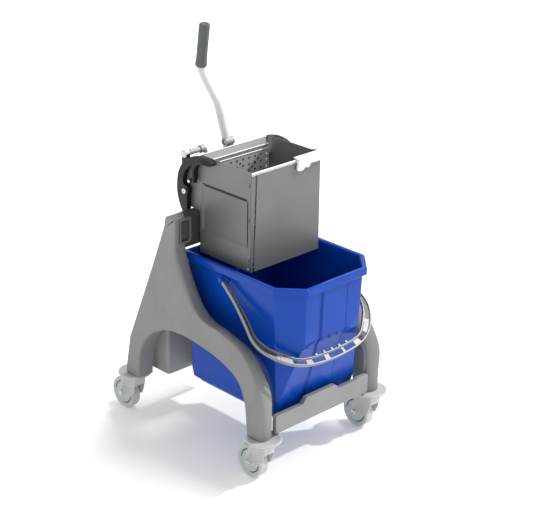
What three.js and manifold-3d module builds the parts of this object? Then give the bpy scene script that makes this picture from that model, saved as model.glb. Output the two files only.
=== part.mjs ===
// Mop-bucket trolley with a lever wringer: two moulded side frames on four swivel casters
// carry a bucket with a bail handle, a storage box and a hook-on press wringer.
// Millimetres. +X is to the right seen from the front, the front faces -Y, +Z is up.
import * as THREE from 'three';
import { mergeVertices } from 'three/addons/utils/BufferGeometryUtils.js';
import Module from 'manifold-3d';

const wasm = await Module();
wasm.setup();

// ---------------------------------------------------------------- driving dimensions
const GAP = 0.3; // left between neighbouring pieces of one body
const RUN = 0.3; // radial clearance of pins and shafts

// side frames
const FRAME_OUT = 195; // outer face from the middle plane
const FRAME_IN = 150; // inner face from the middle plane
const LEG_BOTTOM = 119.3;
const TOWER_TOP = 567;

// casters
const STEM_X = 173.6;
const STEM_Y = 226.2;
const STEM_R = 5.7;
const FLOOR = 10; // floor level in this drawing; the casters are drawn above a floor at zero
const RING_R = 41;
const RING_TOP = 109;
const RING_BOTTOM = 102.4;
const WHEEL_R = 40;
const WHEEL_W = 24;
const RIM_R = 31; // outside of the wheel disc, inside of the tyre
const AXLE_R = 4;
const TRAIL = 35; // axle behind the stem
const FORK_TOP = 102;
const FORK_GAP = 28; // between the cheeks
const CHEEK = 3.5;
const ROUND_STEPS = 24; // sides of a wheel or ring

// bars and box
const BAR_FRONT = -240;
const BAR_BACK = -227;
const BAR_BOTTOM = 124;
const BAR_TOP = 169;
const BAR_RAISED = 182.5;
const SHELF_TOP = 139.5;
const BEAM = { front: 65, back: 84.5, bottom: 481, top: 562 };
const BOX = { x: 132, front: 150, back: 226, backTop: 210, bottom: 118, top: 380, wall: 4 };

// bucket
const RIM_Z = 470;
const LIP_Z = 452;
const BUCKET_WALL = 3;
const BUCKET_FLOOR = 140;
const PIVOT = { y: -57, z: 441 }; // bail pivots
const PIVOT_X = 145.6; // inner side of the bail's eyes
const EYE = 6.4; // thickness of the bail's eyes
const EYE_R = 9;
const BAIL_DROP = 36; // degrees below level at rest
const BAIL_THICK = 9;

// wringer
const WR = { x: 106.3, front: -108.4, back: 61, bottom: 461.3, top: 695.6, sheet: 2 };
const BOLT = { y: 96.5, z: 603 }; // lever pivots
const FOLLOWER = { y: 82, z: 630 }; // press pins at rest
const SHAFT = { y: 98, z: 691 };
const SHAFT_R = 5;
const ARM_IN = 108; // cam arms between these distances from the middle plane
const ARM_OUT = 121;
const PRESS_TRAVEL = 15; // for the lever's whole swing of 20 degrees
const PIN_R = 4;
const PRESS_FRONT = 50; // front of the press plate
const LUG_IN = 101; // press lugs run inside the side panels
const LUG_OUT = 103.5;

// lever
const CROSSBAR_Z = 660; // the shaft drops to this level behind the wringer
const SHAFT_BEND = -54;
const HANDLE_X = 10;
const TUBE_R = 9.7;
const GRIP_R = 14;
const BOSS = { x0: 1, x1: 28, radius: 10 }; // foot of the handle

const radians = THREE.MathUtils.degToRad;

// ---------------------------------------------------------------- materials
const finish = (color, roughness, metalness) =>
  new THREE.MeshStandardMaterial({ color, roughness, metalness });
const GREY_PLASTIC = finish(0x898989, 0.55, 0);
const PALE_PLASTIC = finish(0xb9bab6, 0.5, 0);
const BLUE_PLASTIC = finish(0x2450a8, 0.3, 0);
const SILVER_PLASTIC = finish(0xb4b4b0, 0.35, 0.2);
const STEEL = finish(0x8e8d8b, 0.35, 0.9);
const BRIGHT_STEEL = finish(0xc9c9c9, 0.25, 1);
const BLACK_PLASTIC = finish(0x2c2c2c, 0.45, 0);
const WHITE_PLASTIC = finish(0xf2f2f0, 0.4, 0);
const GRIP_PLASTIC = finish(0x6a7072, 0.6, 0);
const TYRE_RUBBER = finish(0xc6c7c3, 0.6, 0);

// ---------------------------------------------------------------- solids
function toSolid(geometry) {
  const bare = geometry.clone();
  bare.deleteAttribute('normal');
  bare.deleteAttribute('uv');
  const merged = mergeVertices(bare, 1e-4);
  const mesh = new wasm.Mesh({
    numProp: 3,
    vertProperties: merged.attributes.position.array,
    triVerts: new Uint32Array(merged.index.array),
  });
  return new wasm.Manifold(mesh);
}

function toGeometry(solid) {
  const { vertProperties, triVerts } = solid.getMesh();
  const geometry = new THREE.BufferGeometry();
  geometry.setAttribute('position', new THREE.BufferAttribute(new Float32Array(vertProperties), 3));
  geometry.setIndex(new THREE.BufferAttribute(new Uint32Array(triVerts), 1));
  geometry.computeVertexNormals();
  return geometry;
}

const join = (...geometries) =>
  toGeometry(geometries.map(toSolid).reduce((whole, piece) => whole.add(piece)));

const cut = (geometry, ...tools) =>
  toGeometry(tools.map(toSolid).reduce((whole, tool) => whole.subtract(tool), toSolid(geometry)));

function mirrored(geometry) {
  const copy = mergeVertices(geometry.index ? geometry.clone() : mergeVertices(geometry));
  copy.scale(-1, 1, 1);
  const order = copy.index.array;
  for (let i = 0; i < order.length; i += 3) [order[i], order[i + 1]] = [order[i + 1], order[i]];
  copy.computeVertexNormals();
  return copy;
}

const block = (x0, x1, y0, y1, z0, z1) =>
  new THREE.BoxGeometry(x1 - x0, y1 - y0, z1 - z0).translate(
    (x0 + x1) / 2, (y0 + y1) / 2, (z0 + z1) / 2);

// a rod along X between x0 and x1
const rodX = (radius, x0, x1, y, z, sides = 16) =>
  new THREE.CylinderGeometry(radius, radius, x1 - x0, sides)
    .rotateZ(-Math.PI / 2)
    .translate((x0 + x1) / 2, y, z);

const rodZ = (radius, z0, z1, x, y, sides = 16) =>
  new THREE.CylinderGeometry(radius, radius, z1 - z0, sides)
    .rotateX(Math.PI / 2)
    .translate(x, y, (z0 + z1) / 2);

// an outline drawn in the Y-Z plane, extruded from x0 to x1
const YZ = new THREE.Matrix4().makeBasis(
  new THREE.Vector3(0, 1, 0), new THREE.Vector3(0, 0, 1), new THREE.Vector3(1, 0, 0));
const plateX = (shape, x0, x1, curveSegments = 6) =>
  new THREE.ExtrudeGeometry(shape, { depth: x1 - x0, bevelEnabled: false, curveSegments })
    .applyMatrix4(YZ)
    .translate(x0, 0, 0);

// an outline drawn in the X-Z plane, extruded from the front y0 back to y1
const XZ = new THREE.Matrix4().makeBasis(
  new THREE.Vector3(1, 0, 0), new THREE.Vector3(0, 0, 1), new THREE.Vector3(0, -1, 0));
const plateY = (shape, y0, y1) =>
  new THREE.ExtrudeGeometry(shape, { depth: y1 - y0, bevelEnabled: false, curveSegments: 6 })
    .applyMatrix4(XZ)
    .translate(0, y1, 0);

const plateZ = (shape, z0, z1) =>
  new THREE.ExtrudeGeometry(shape, { depth: z1 - z0, bevelEnabled: false, curveSegments: 6 })
    .translate(0, 0, z0);

const points2 = (pairs) => pairs.map(([a, b]) => new THREE.Vector2(a, b));
const outline = (pairs) => new THREE.Shape(points2(pairs));

function slotHole(from, to, radius, steps = 6) {
  const along = Math.atan2(to[1] - from[1], to[0] - from[0]);
  const ring = [];
  for (let i = 0; i <= steps; i += 1) {
    const a = along + Math.PI / 2 + (Math.PI * i) / steps;
    ring.push([from[0] + radius * Math.cos(a), from[1] + radius * Math.sin(a)]);
  }
  for (let i = 0; i <= steps; i += 1) {
    const a = along - Math.PI / 2 + (Math.PI * i) / steps;
    ring.push([to[0] + radius * Math.cos(a), to[1] + radius * Math.sin(a)]);
  }
  return new THREE.Path(points2(ring));
}

function roundHole(x, y, radius, sides = 12) {
  const ring = Array.from({ length: sides }, (_, i) => (2 * Math.PI * i) / sides)
    .map((a) => [x + radius * Math.cos(a), y + radius * Math.sin(a)]);
  return new THREE.Path(points2(ring));
}

// a closed lathe profile of (radius, height) pairs, turned about Z
const turned = (pairs, sides = ROUND_STEPS) =>
  new THREE.LatheGeometry(points2([...pairs, pairs[0]]), sides).rotateX(Math.PI / 2);

const trolley = new THREE.Group();

function place(parent, name, geometry, material) {
  const mesh = new THREE.Mesh(geometry, material);
  mesh.name = name;
  parent.add(mesh);
  return mesh;
}

// ---------------------------------------------------------------- side frames
// outline in (y, z): tower at the back, a shoulder falling to the front leg, an arch below
function frameOutline() {
  const shape = new THREE.Shape();
  shape.moveTo(46, TOWER_TOP - 2);
  shape.lineTo(48, 487);
  shape.splineThru(points2([[37, 459], [19, 423], [-6, 382], [-31, 358], [-61, 347], [-104, 341],
    [-170, 318], [-208, 274], [-237, 226], [-240, 180]]));
  shape.lineTo(-240, LEG_BOTTOM);
  shape.lineTo(-190, LEG_BOTTOM);
  shape.splineThru(points2([[-187, 160], [-180, 204], [-157, 245], [-104, 270], [-37, 283],
    [32, 288], [85, 280], [140, 250], [175, 198], [185, 136], [185, LEG_BOTTOM]]));
  shape.lineTo(233, LEG_BOTTOM);
  shape.lineTo(233, 137);
  shape.lineTo(217, 220);
  shape.lineTo(131, 423);
  shape.lineTo(82, 540);
  shape.lineTo(78, TOWER_TOP);
  return shape;
}

function sideFrame() {
  const body = plateX(frameOutline(), -FRAME_OUT, -FRAME_IN, 3);
  const socket = block(-180, -FRAME_IN, 40, 60, 503, TOWER_TOP - 3);
  const panel = block(-178, -154, 30, 45, 508, 559);
  const stemHoles = [-1, 1].map((side) =>
    rodZ(STEM_R + RUN, LEG_BOTTOM - 1, LEG_BOTTOM + 12, -STEM_X, side * STEM_Y, 12));
  return cut(join(body, socket), panel, ...stemHoles);
}

const leftFrame = sideFrame();
place(trolley, 'side_frame_left', leftFrame, GREY_PLASTIC);
place(trolley, 'side_frame_right', mirrored(leftFrame), GREY_PLASTIC);

// ---------------------------------------------------------------- bars, beam and box
function frontCrossbar() {
  const end = FRAME_IN - GAP;
  const face = outline([[-end, BAR_BOTTOM], [end, BAR_BOTTOM], [end, BAR_TOP], [53, BAR_TOP],
    [38, BAR_RAISED], [-54, BAR_RAISED], [-66, BAR_TOP], [-end, BAR_TOP]]);
  const shelf = block(-100, 100, BAR_BACK - 2, -170, BAR_BOTTOM, SHELF_TOP);
  return join(plateY(face, BAR_FRONT, BAR_BACK), shelf);
}
place(trolley, 'front_crossbar', frontCrossbar(), GREY_PLASTIC);

const beamEnd = FRAME_IN - GAP;
place(trolley, 'rear_crossbeam',
  cut(block(-beamEnd, beamEnd, BEAM.front, BEAM.back, BEAM.bottom, BEAM.top),
    block(-138, 138, BEAM.front + 4, BEAM.back - 4, BEAM.bottom - 1, BEAM.top - 6)),
  GREY_PLASTIC);

function rearBox() {
  const side = (inset, low, high) => outline([
    [BOX.front + inset, low], [BOX.back - inset, low], [BOX.backTop - inset, high],
    [BOX.front + inset, high]]);
  const outer = plateX(side(0, BOX.bottom, BOX.top), -BOX.x, BOX.x);
  const inner = plateX(side(BOX.wall, BOX.bottom + BOX.wall, BOX.top + 1),
    -BOX.x + BOX.wall, BOX.x - BOX.wall);
  const lugs = block(-FRAME_IN + GAP, FRAME_IN - GAP, BOX.front, 166, 300, 345);
  const tongue = block(-60, 60, 10, BOX.front + 2, 127, SHELF_TOP);
  return cut(join(outer, lugs, tongue), inner);
}
place(trolley, 'rear_box', rearBox(), GREY_PLASTIC);

// ---------------------------------------------------------------- casters
function bumperRing() {
  return turned([[STEM_R + RUN, RING_BOTTOM], [37, RING_BOTTOM], [40, RING_BOTTOM + 1.2],
    [RING_R, RING_BOTTOM + 3.3], [40, RING_TOP - 1.2], [37, RING_TOP], [STEM_R + RUN, RING_TOP]]);
}

function casterFork() {
  const outer = FORK_GAP / 2 + CHEEK;
  const cheek = outline([[-20, 97], [24, 97], [44, 60], [46, 36], [40, 29], [31, 30], [-6, 44],
    [-13, 58], [-19, 84]]);
  const cheeks = [-1, 1].map((side) =>
    plateX(cheek, Math.min(side * outer, side * (outer - CHEEK)),
      Math.max(side * outer, side * (outer - CHEEK))));
  const crown = block(-outer, outer, -20, 28, 86, 97);
  const plate = rodZ(24, 96, FORK_TOP, 0, 0, 20);
  const stem = rodZ(STEM_R, 100, LEG_BOTTOM - FLOOR + 9, 0, 0, 12);
  const bore = rodX(AXLE_R + RUN, -outer - 1, outer + 1, TRAIL, WHEEL_R, 12);
  return cut(join(crown, ...cheeks, plate, stem), bore);
}

function wheelHub() {
  const half = WHEEL_W / 2;
  const disc = RIM_R - GAP;
  const profile = [[AXLE_R + RUN, -half - 1.5], [10, -half - 1.5], [12, -half + 3],
    [disc, -half + 1], [disc, half - 1], [12, half - 3], [10, half + 1.5],
    [AXLE_R + RUN, half + 1.5]];
  return turned(profile).rotateY(Math.PI / 2).translate(0, TRAIL, WHEEL_R);
}

// the tyre's sides are turned so that one flat meets the floor
function tyre() {
  const half = WHEEL_W / 2;
  const tread = WHEEL_R / Math.cos(Math.PI / ROUND_STEPS);
  const profile = [[RIM_R, -half + 1], [tread - 3, -half], [tread, -half + 3],
    [tread, half - 3], [tread - 3, half], [RIM_R, half - 1]];
  return turned(profile)
    .rotateZ(Math.PI / ROUND_STEPS)
    .rotateY(Math.PI / 2)
    .translate(0, TRAIL, WHEEL_R);
}

function casterAxle() {
  const reach = FORK_GAP / 2 + CHEEK + GAP;
  return join(rodX(AXLE_R, -reach - 1, reach + 1, TRAIL, WHEEL_R, 12),
    rodX(7, -reach - 3.5, -reach, TRAIL, WHEEL_R, 12),
    rodX(7, reach, reach + 3.5, TRAIL, WHEEL_R, 12));
}

const CORNERS = {
  front_left: [-STEM_X, -STEM_Y], front_right: [STEM_X, -STEM_Y],
  rear_left: [-STEM_X, STEM_Y], rear_right: [STEM_X, STEM_Y],
};
for (const [corner, [x, y]] of Object.entries(CORNERS)) {
  const caster = new THREE.Group();
  caster.position.set(x, y, FLOOR);
  place(caster, `bumper_${corner}`, bumperRing(), PALE_PLASTIC);
  place(caster, `fork_${corner}`, casterFork(), PALE_PLASTIC);
  place(caster, `hub_${corner}`, wheelHub(), PALE_PLASTIC);
  place(caster, `tyre_${corner}`, tyre(), TYRE_RUBBER);
  place(caster, `axle_${corner}`, casterAxle(), BRIGHT_STEEL);
  trolley.add(caster);
}

// ---------------------------------------------------------------- bucket
// One level of the bucket's outer skin: half width, where the corner chamfer starts on the side,
// half width and depth of the front face, and how far its middle stands back from its corners.
const LEVELS = [
  { z: BUCKET_FLOOR, side: 121, chamfer: -200, nose: 118, front: -205, dip: 0, rear: 50 },
  { z: 148, side: 124, chamfer: -205, nose: 121.5, front: -208.5, dip: 0, rear: 70 },
  { z: 172, side: 127.5, chamfer: -211, nose: 125, front: -214.5, dip: 0, rear: 72 },
  { z: 313, side: 129.5, chamfer: -212, nose: 88.5, front: -252.5, dip: 3, rear: 74 },
  { z: 334, side: 130, chamfer: -212, nose: 86, front: -261.5, dip: 0, rear: 74 },
  { z: LIP_Z, side: 134.5, chamfer: -213, nose: 88.5, front: -266, dip: 0, rear: 74 },
  { z: RIM_Z - 3, side: 135, chamfer: -213.4, nose: 88.5, front: -266.5, dip: 0, rear: 74 },
];
const RIM = { side: 144.7, chamfer: -220, nose: 93, front: -275.5, dip: 0, rear: 80 };

function ring(level, z, inset = 0) {
  const corner = inset * Math.tan(Math.PI / 8);
  const side = level.side - inset;
  const chamfer = level.chamfer + corner;
  const nose = level.nose - corner;
  const front = level.front + inset;
  const rear = level.rear - inset;
  const middle = front + level.dip;
  return [[side, rear], [-side, rear], [-side, chamfer], [-nose, front], [-50, middle],
    [50, middle], [nose, front], [side, chamfer]].map(([x, y]) => new THREE.Vector3(x, y, z));
}

// skins a stack of rings, each joined to the next, and closes the first and the last
function skin(rings) {
  const corners = rings[0].length;
  const positions = rings.flat().flatMap((p) => [p.x, p.y, p.z]);
  const faces = [];
  for (let r = 0; r + 1 < rings.length; r += 1) {
    for (let i = 0; i < corners; i += 1) {
      const a = r * corners + i;
      const b = r * corners + ((i + 1) % corners);
      faces.push(a, b, a + corners, b, b + corners, a + corners);
    }
  }
  const last = (rings.length - 1) * corners;
  for (let i = 1; i + 1 < corners; i += 1) {
    faces.push(0, i + 1, i);
    faces.push(last, last + i, last + i + 1);
  }
  const geometry = new THREE.BufferGeometry();
  geometry.setAttribute('position', new THREE.Float32BufferAttribute(positions, 3));
  geometry.setIndex(faces);
  return geometry;
}

function bucket() {
  const outside = LEVELS.map((level) => ring(level, level.z));
  const lip = [ring(RIM, RIM_Z - 3, 3), ring(RIM, LIP_Z, 3), ring(RIM, LIP_Z),
    ring(RIM, RIM_Z - 2), ring(RIM, RIM_Z, 2)];
  const top = LEVELS[LEVELS.length - 1];
  const inside = [ring(top, RIM_Z, BUCKET_WALL), ...LEVELS.slice(1, -1).reverse()
    .map((level) => ring(level, level.z, BUCKET_WALL)),
  ring(LEVELS[0], BUCKET_FLOOR + BUCKET_WALL, BUCKET_WALL + 1)];
  const shell = toSolid(skin([...outside, ...lip, ...inside]));
  const bosses = [-1, 1].map((side) => {
    const boss = rodX(EYE_R, Math.min(side * 131.5, side * (PIVOT_X - GAP)),
      Math.max(side * 131.5, side * (PIVOT_X - GAP)), PIVOT.y, PIVOT.z, 16);
    return toSolid(boss);
  });
  const bores = [-1, 1].map((side) =>
    toSolid(rodX(PIN_R, Math.min(side * 136, side * 150), Math.max(side * 136, side * 150),
      PIVOT.y, PIVOT.z, 12)));
  return toGeometry(shell.add(bosses[0]).add(bosses[1]).subtract(bores[0]).subtract(bores[1]));
}
place(trolley, 'bucket', bucket(), BLUE_PLASTIC);

// ---------------------------------------------------------------- bail handle
// half outline in (x, distance from the pivot axis) within the bail's plane
const BAIL_OUTER = [[152, 0], [152, 15], [157, 66], [169, 125], [177, 158], [175, 186], [163, 210],
  [142, 235], [112, 256], [78, 268], [28, 274.4]];
const BAIL_INNER = [[28, 252], [70, 249], [100, 241], [127, 219], [148, 196], [159, 176],
  [163, 154], [155, 120], [147, 62], [145.6, 15], [145.6, 0]];
const GRIP_HOLES = [-99, -49, 0, 49, 99];

function bailHandle() {
  const half = [...BAIL_OUTER, ...BAIL_INNER];
  const shape = new THREE.Shape(points2([
    ...BAIL_OUTER, ...BAIL_OUTER.map(([x, r]) => [-x, r]).reverse(),
    ...half.slice(BAIL_OUTER.length).reverse().map(([x, r]) => [-x, r]),
    ...BAIL_INNER]));
  for (const x of GRIP_HOLES) {
    const drop = 0.0012 * x * x;
    const tilt = -0.0024 * x * 10;
    shape.holes.push(slotHole([x - 10, 263 - drop - tilt], [x + 10, 263 - drop + tilt], 6.6, 4));
  }
  const drop = radians(BAIL_DROP);
  const away = new THREE.Vector3(0, -Math.cos(drop), -Math.sin(drop));
  const across = new THREE.Vector3(1, 0, 0);
  const plane = new THREE.Matrix4().makeBasis(across, away, across.clone().cross(away));
  const bow = new THREE.ExtrudeGeometry(shape, { depth: BAIL_THICK, bevelEnabled: false })
    .translate(0, 0, -BAIL_THICK / 2)
    .applyMatrix4(plane)
    .translate(0, PIVOT.y, PIVOT.z);
  const eyes = [[-PIVOT_X - EYE, -PIVOT_X], [PIVOT_X, PIVOT_X + EYE]].map(([x0, x1]) =>
    rodX(EYE_R, x0, x1, PIVOT.y, PIVOT.z));
  const bores = [[-160, -140], [140, 160]].map(([x0, x1]) =>
    rodX(PIN_R, x0, x1, PIVOT.y, PIVOT.z, 12));
  return cut(join(bow, ...eyes), ...bores);
}
place(trolley, 'bail_handle', bailHandle(), SILVER_PLASTIC);

for (const [name, side] of [['left', -1], ['right', 1]]) {
  const rivet = join(rodX(PIN_R - RUN, 137, 154, PIVOT.y, PIVOT.z, 12),
    rodX(7, PIVOT_X + EYE + GAP, PIVOT_X + EYE + 3, PIVOT.y, PIVOT.z, 12));
  place(trolley, `bail_pivot_${name}`, side < 0 ? mirrored(rivet) : rivet, BLUE_PLASTIC);
}

// ---------------------------------------------------------------- wringer box
const inside = WR.x - WR.sheet; // inner face of a side panel
const ROD = { y: -100, z: 467, radius: 3, head: 4.5 }; // cross rod under the drain floor

// rear ears of the side panels; the left one is taller, the right one leaves room for the shaft
const EAR_LEFT = [[104, 562.6], [114, 576], [119, 595], [121, 615], [119, 636], [112, 651],
  [101, 662], [86, 670], [72, 675], [WR.back, 677]];
const EAR_RIGHT = [[104, 562.6], [114, 576], [119, 595], [117, 615], [104, 638], [84, 646],
  [WR.back, 652]];

function wringerSide(ear) {
  const shape = outline([[WR.front, WR.bottom], [WR.back, WR.bottom], [WR.back, 562.6], ...ear,
    [WR.back, 684], [57, 692], [49, WR.top], [WR.front, WR.top]]);
  shape.holes.push(slotHole([FOLLOWER.y - PRESS_TRAVEL, FOLLOWER.z], [FOLLOWER.y, FOLLOWER.z],
    PIN_R + 2 * RUN, 4));
  shape.holes.push(roundHole(BOLT.y, BOLT.z, PIN_R + RUN));
  shape.holes.push(roundHole(ROD.y, ROD.z, ROD.radius + RUN, 10));
  const sheet = plateX(shape, -WR.x, -inside);
  const flange = block(-WR.x, -95, WR.front, WR.front + WR.sheet, WR.bottom, WR.top);
  return join(sheet, flange);
}
place(trolley, 'wringer_side_left', wringerSide(EAR_LEFT), STEEL);
place(trolley, 'wringer_side_right', mirrored(wringerSide(EAR_RIGHT)), STEEL);

const panelBack = WR.front - GAP;
place(trolley, 'wringer_front',
  join(block(-94, 105, panelBack - WR.sheet, panelBack, WR.bottom + 1, WR.top - 6),
    block(-106, 106, panelBack - 3.5, panelBack, WR.top - 8, WR.top)),
  STEEL);

place(trolley, 'wringer_back',
  join(block(-inside + GAP, inside - GAP, WR.back - WR.sheet, WR.back, WR.bottom + 1, 606),
    block(-93, 93, WR.back - WR.sheet, WR.back, 600, 666)),
  STEEL);

const DRAIN_PITCH = 28;
function wringerFloor() {
  const edge = inside - GAP;
  const sheet = outline([[-edge, -94], [edge, -94], [edge, WR.back - WR.sheet - GAP],
    [-edge, WR.back - WR.sheet - GAP]]);
  for (let row = 0; row < 5; row += 1) {
    for (let column = -3; column <= 3; column += 1) {
      const x = column * DRAIN_PITCH;
      const y = -72 + row * DRAIN_PITCH;
      sheet.holes.push(roundHole(x, y, 4, 6));
    }
  }
  return plateZ(sheet, 474, 476);
}
place(trolley, 'wringer_floor', wringerFloor(), STEEL);

place(trolley, 'wringer_rod',
  join(rodX(ROD.radius, -WR.x - 2, WR.x + 2, ROD.y, ROD.z, 10),
    rodX(ROD.head, -WR.x - 3.5, -WR.x - GAP, ROD.y, ROD.z, 10),
    rodX(ROD.head, WR.x + GAP, WR.x + 3.5, ROD.y, ROD.z, 10)),
  BRIGHT_STEEL);

// hooks that hang the wringer on the rear crossbeam
for (const [name, side] of [['left', -1], ['right', 1]]) {
  const top = BEAM.top + GAP;
  const hook = outline([[WR.back + GAP, 540], [BEAM.front - GAP, 540], [BEAM.front - GAP, top],
    [BEAM.back + GAP, top], [BEAM.back + GAP, 528], [BEAM.back + 3, 528],
    [BEAM.back + 3, top + 3], [BEAM.front - GAP, top + 3], [BEAM.front - GAP, 602],
    [WR.back + GAP, 602]]);
  place(trolley, `wringer_hook_${name}`, plateX(hook, side * 60 - 18, side * 60 + 18), STEEL);
}

for (const [name, side] of [['left', -1], ['right', 1]]) {
  const bolt = join(rodX(PIN_R, inside - 4, ARM_OUT + 2, BOLT.y, BOLT.z, 12),
    rodX(8, ARM_OUT + GAP, ARM_OUT + 4, BOLT.y, BOLT.z, 16),
    rodX(7, inside - 6, inside - GAP, BOLT.y, BOLT.z, 6));
  place(trolley, `pivot_bolt_${name}`, side < 0 ? mirrored(bolt) : bolt, BRIGHT_STEEL);
}

// clip that grips the hem at the front right corner
function hemClip() {
  const face = panelBack - 3.5 - GAP;
  return join(block(28, 67, face - 5, face, 668, WR.top + 3),
    block(28, 119, face - 7, face, 682, WR.top + 3),
    block(28, 119, face - 7, WR.front + 8, WR.top + GAP, WR.top + 3.5),
    block(WR.x + GAP, 119, face - 7, -82, 682, WR.top + 3.5));
}
place(trolley, 'hem_clip', hemClip(), WHITE_PLASTIC);

// ---------------------------------------------------------------- press plate
const HOLE_PITCH = 21;
function pressPlate() {
  const half = 100;
  const sheet = outline([[-half, 484], [half, 484], [half, 670], [-half, 670]]);
  for (let row = 0; row < 8; row += 1) {
    const shift = row % 2 ? HOLE_PITCH / 2 : 0;
    for (let column = -4; column <= 4 - (row % 2); column += 1) {
      const x = column * HOLE_PITCH + shift;
      const z = 655 - row * HOLE_PITCH;
      sheet.holes.push(roundHole(x, z, 3.5, 6));
    }
  }
  const plate = plateY(sheet, PRESS_FRONT, PRESS_FRONT + 2);
  const rail = outline([[PRESS_FRONT, 668], [PRESS_FRONT, 678], [58, WR.top], [WR.back, WR.top],
    [WR.back, 668]]);
  const lug = outline([[PRESS_FRONT + 1, 612], [FOLLOWER.y, 621], [FOLLOWER.y + 8, 630],
    [FOLLOWER.y, 639], [PRESS_FRONT + 1, 660]]);
  lug.holes.push(roundHole(FOLLOWER.y, FOLLOWER.z, PIN_R + RUN));
  const plateEdges = [[-LUG_OUT, -half + 0.5], [half - 0.5, LUG_OUT]].map(([x0, x1]) =>
    block(x0, x1, PRESS_FRONT, PRESS_FRONT + 2, 612, 660));
  return join(plate, plateX(rail, -half, half), plateX(lug, -LUG_OUT, -LUG_IN),
    plateX(lug, LUG_IN, LUG_OUT), ...plateEdges);
}
place(trolley, 'press_plate', pressPlate(), BRIGHT_STEEL);

for (const [name, side] of [['left', -1], ['right', 1]]) {
  const pin = join(rodX(PIN_R, LUG_IN - 3, ARM_OUT + 1, FOLLOWER.y, FOLLOWER.z, 12),
    rodX(6.5, LUG_IN - 5, LUG_IN - GAP, FOLLOWER.y, FOLLOWER.z, 12));
  place(trolley, `press_pin_${name}`, side < 0 ? mirrored(pin) : pin, BRIGHT_STEEL);
}

// ---------------------------------------------------------------- lever
// A hooked arm: its back bows round the bolt, and the press pin stands in the open crescent
// between the bow and the prong that hangs from the top.
const ARM_BACK = [[2, 691], [19, 695.5], [40, 696.5], [55, 694.5], [70, 691], [80, 687], [91, 680],
  [102, 669], [112, 656], [120, 637], [123, 615], [123, 598], [119, 580], [112, 563], [98, 541]];
const ARM_FRONT = [[88, 546], [88, 592], [84, 607], [88, 618], [101, 620]];
const ARM_CRESCENT = [[102, 632], [96, 648], [84, 662], [70, 671.5], [71, 662], [73, 648],
  [73, 638], [71, 629]];
const ARM_PRONG = [[65, 628.5], [64.5, 640], [64, 657], [59, 669], [50, 677.5], [34, 681],
  [13, 680], [5, 684]];

// shaftZ is the height at which the shaft meets the arm
function camArm(shaftZ, ...extras) {
  const body = plateX(outline([...ARM_BACK, ...ARM_FRONT, ...ARM_CRESCENT, ...ARM_PRONG]),
    -ARM_OUT, -ARM_IN);
  return cut(join(body, ...extras),
    rodX(SHAFT_R + RUN, -ARM_OUT - 1, -ARM_IN + 1, SHAFT.y, shaftZ, 12),
    rodX(PIN_R + RUN, -ARM_OUT - 1, -ARM_IN + 1, BOLT.y, BOLT.z, 12));
}
const neck = plateX(outline([[88, 676], [88, 691], [107, 691], [107, 658]]), -ARM_OUT, -ARM_IN);
const eye = rodX(9.5, -ARM_OUT, -ARM_IN, SHAFT.y, SHAFT.z, 16);
place(trolley, 'cam_arm_left', camArm(SHAFT.z, neck, eye), BLACK_PLASTIC);
place(trolley, 'cam_arm_right', mirrored(camArm(CROSSBAR_Z)), BLACK_PLASTIC);

// The shaft enters the left arm high up, drops behind the wringer and runs low to the right arm.
place(trolley, 'lever_shaft',
  join(rodX(SHAFT_R, -ARM_OUT - 2, SHAFT_BEND + SHAFT_R, SHAFT.y, SHAFT.z, 12),
    rodZ(SHAFT_R, CROSSBAR_Z - SHAFT_R, SHAFT.z + SHAFT_R, SHAFT_BEND, SHAFT.y, 12),
    rodX(SHAFT_R, SHAFT_BEND - SHAFT_R, ARM_OUT + 2, SHAFT.y, CROSSBAR_Z, 12),
    rodX(6.4, -ARM_IN + GAP, -ARM_IN + 3, SHAFT.y, SHAFT.z, 12),
    rodX(6.4, ARM_IN - 3, ARM_IN - GAP, SHAFT.y, CROSSBAR_Z, 12)),
  BRIGHT_STEEL);

place(trolley, 'shaft_collar',
  cut(rodX(9.5, -74, -60, SHAFT.y, SHAFT.z, 16),
    rodX(SHAFT_R + RUN, -75, -59, SHAFT.y, SHAFT.z, 12)),
  BRIGHT_STEEL);

// handle line in (y, z): rising from its foot, leaning back, then turned up into the grip
const HANDLE_LINE = [[98.5, 692], [111, 725], [125, 764], [133, 780], [146, 795.5], [165, 817.5],
  [177.5, 833], [184, 843], [186.2, 851], [184.9, 860], [177, 917]];
const handlePoint = ([y, z]) => new THREE.Vector3(HANDLE_X, y, z);
const GRIP_LOW = handlePoint([186, 851]);
const GRIP_TOP = handlePoint([172, 953]);

// the boss under the handle and its clamp on the low run of the shaft
function leverSocket() {
  const boss = rodX(BOSS.radius, BOSS.x0, BOSS.x1, SHAFT.y, SHAFT.z, 24);
  const web = block(4, 25, SHAFT.y - 6, SHAFT.y + 6, CROSSBAR_Z, SHAFT.z);
  const clamp = rodX(9, 3, 26, SHAFT.y, CROSSBAR_Z, 16);
  return cut(join(boss, web, clamp),
    rodX(SHAFT_R + RUN, 0, 30, SHAFT.y, CROSSBAR_Z, 12));
}
place(trolley, 'lever_socket', leverSocket(), BRIGHT_STEEL);

function leverTube() {
  const path = new THREE.CatmullRomCurve3(HANDLE_LINE.map(handlePoint), false, 'centripetal');
  const section = new THREE.Shape().absarc(0, 0, TUBE_R, 0, 2 * Math.PI);
  const tube = new THREE.ExtrudeGeometry(section,
    { steps: 24, extrudePath: path, curveSegments: 6, bevelEnabled: false });
  return cut(tube, rodX(BOSS.radius + GAP, HANDLE_X - 15, HANDLE_X + 15, SHAFT.y, SHAFT.z, 24));
}
place(trolley, 'lever_tube', leverTube(), WHITE_PLASTIC);

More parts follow.
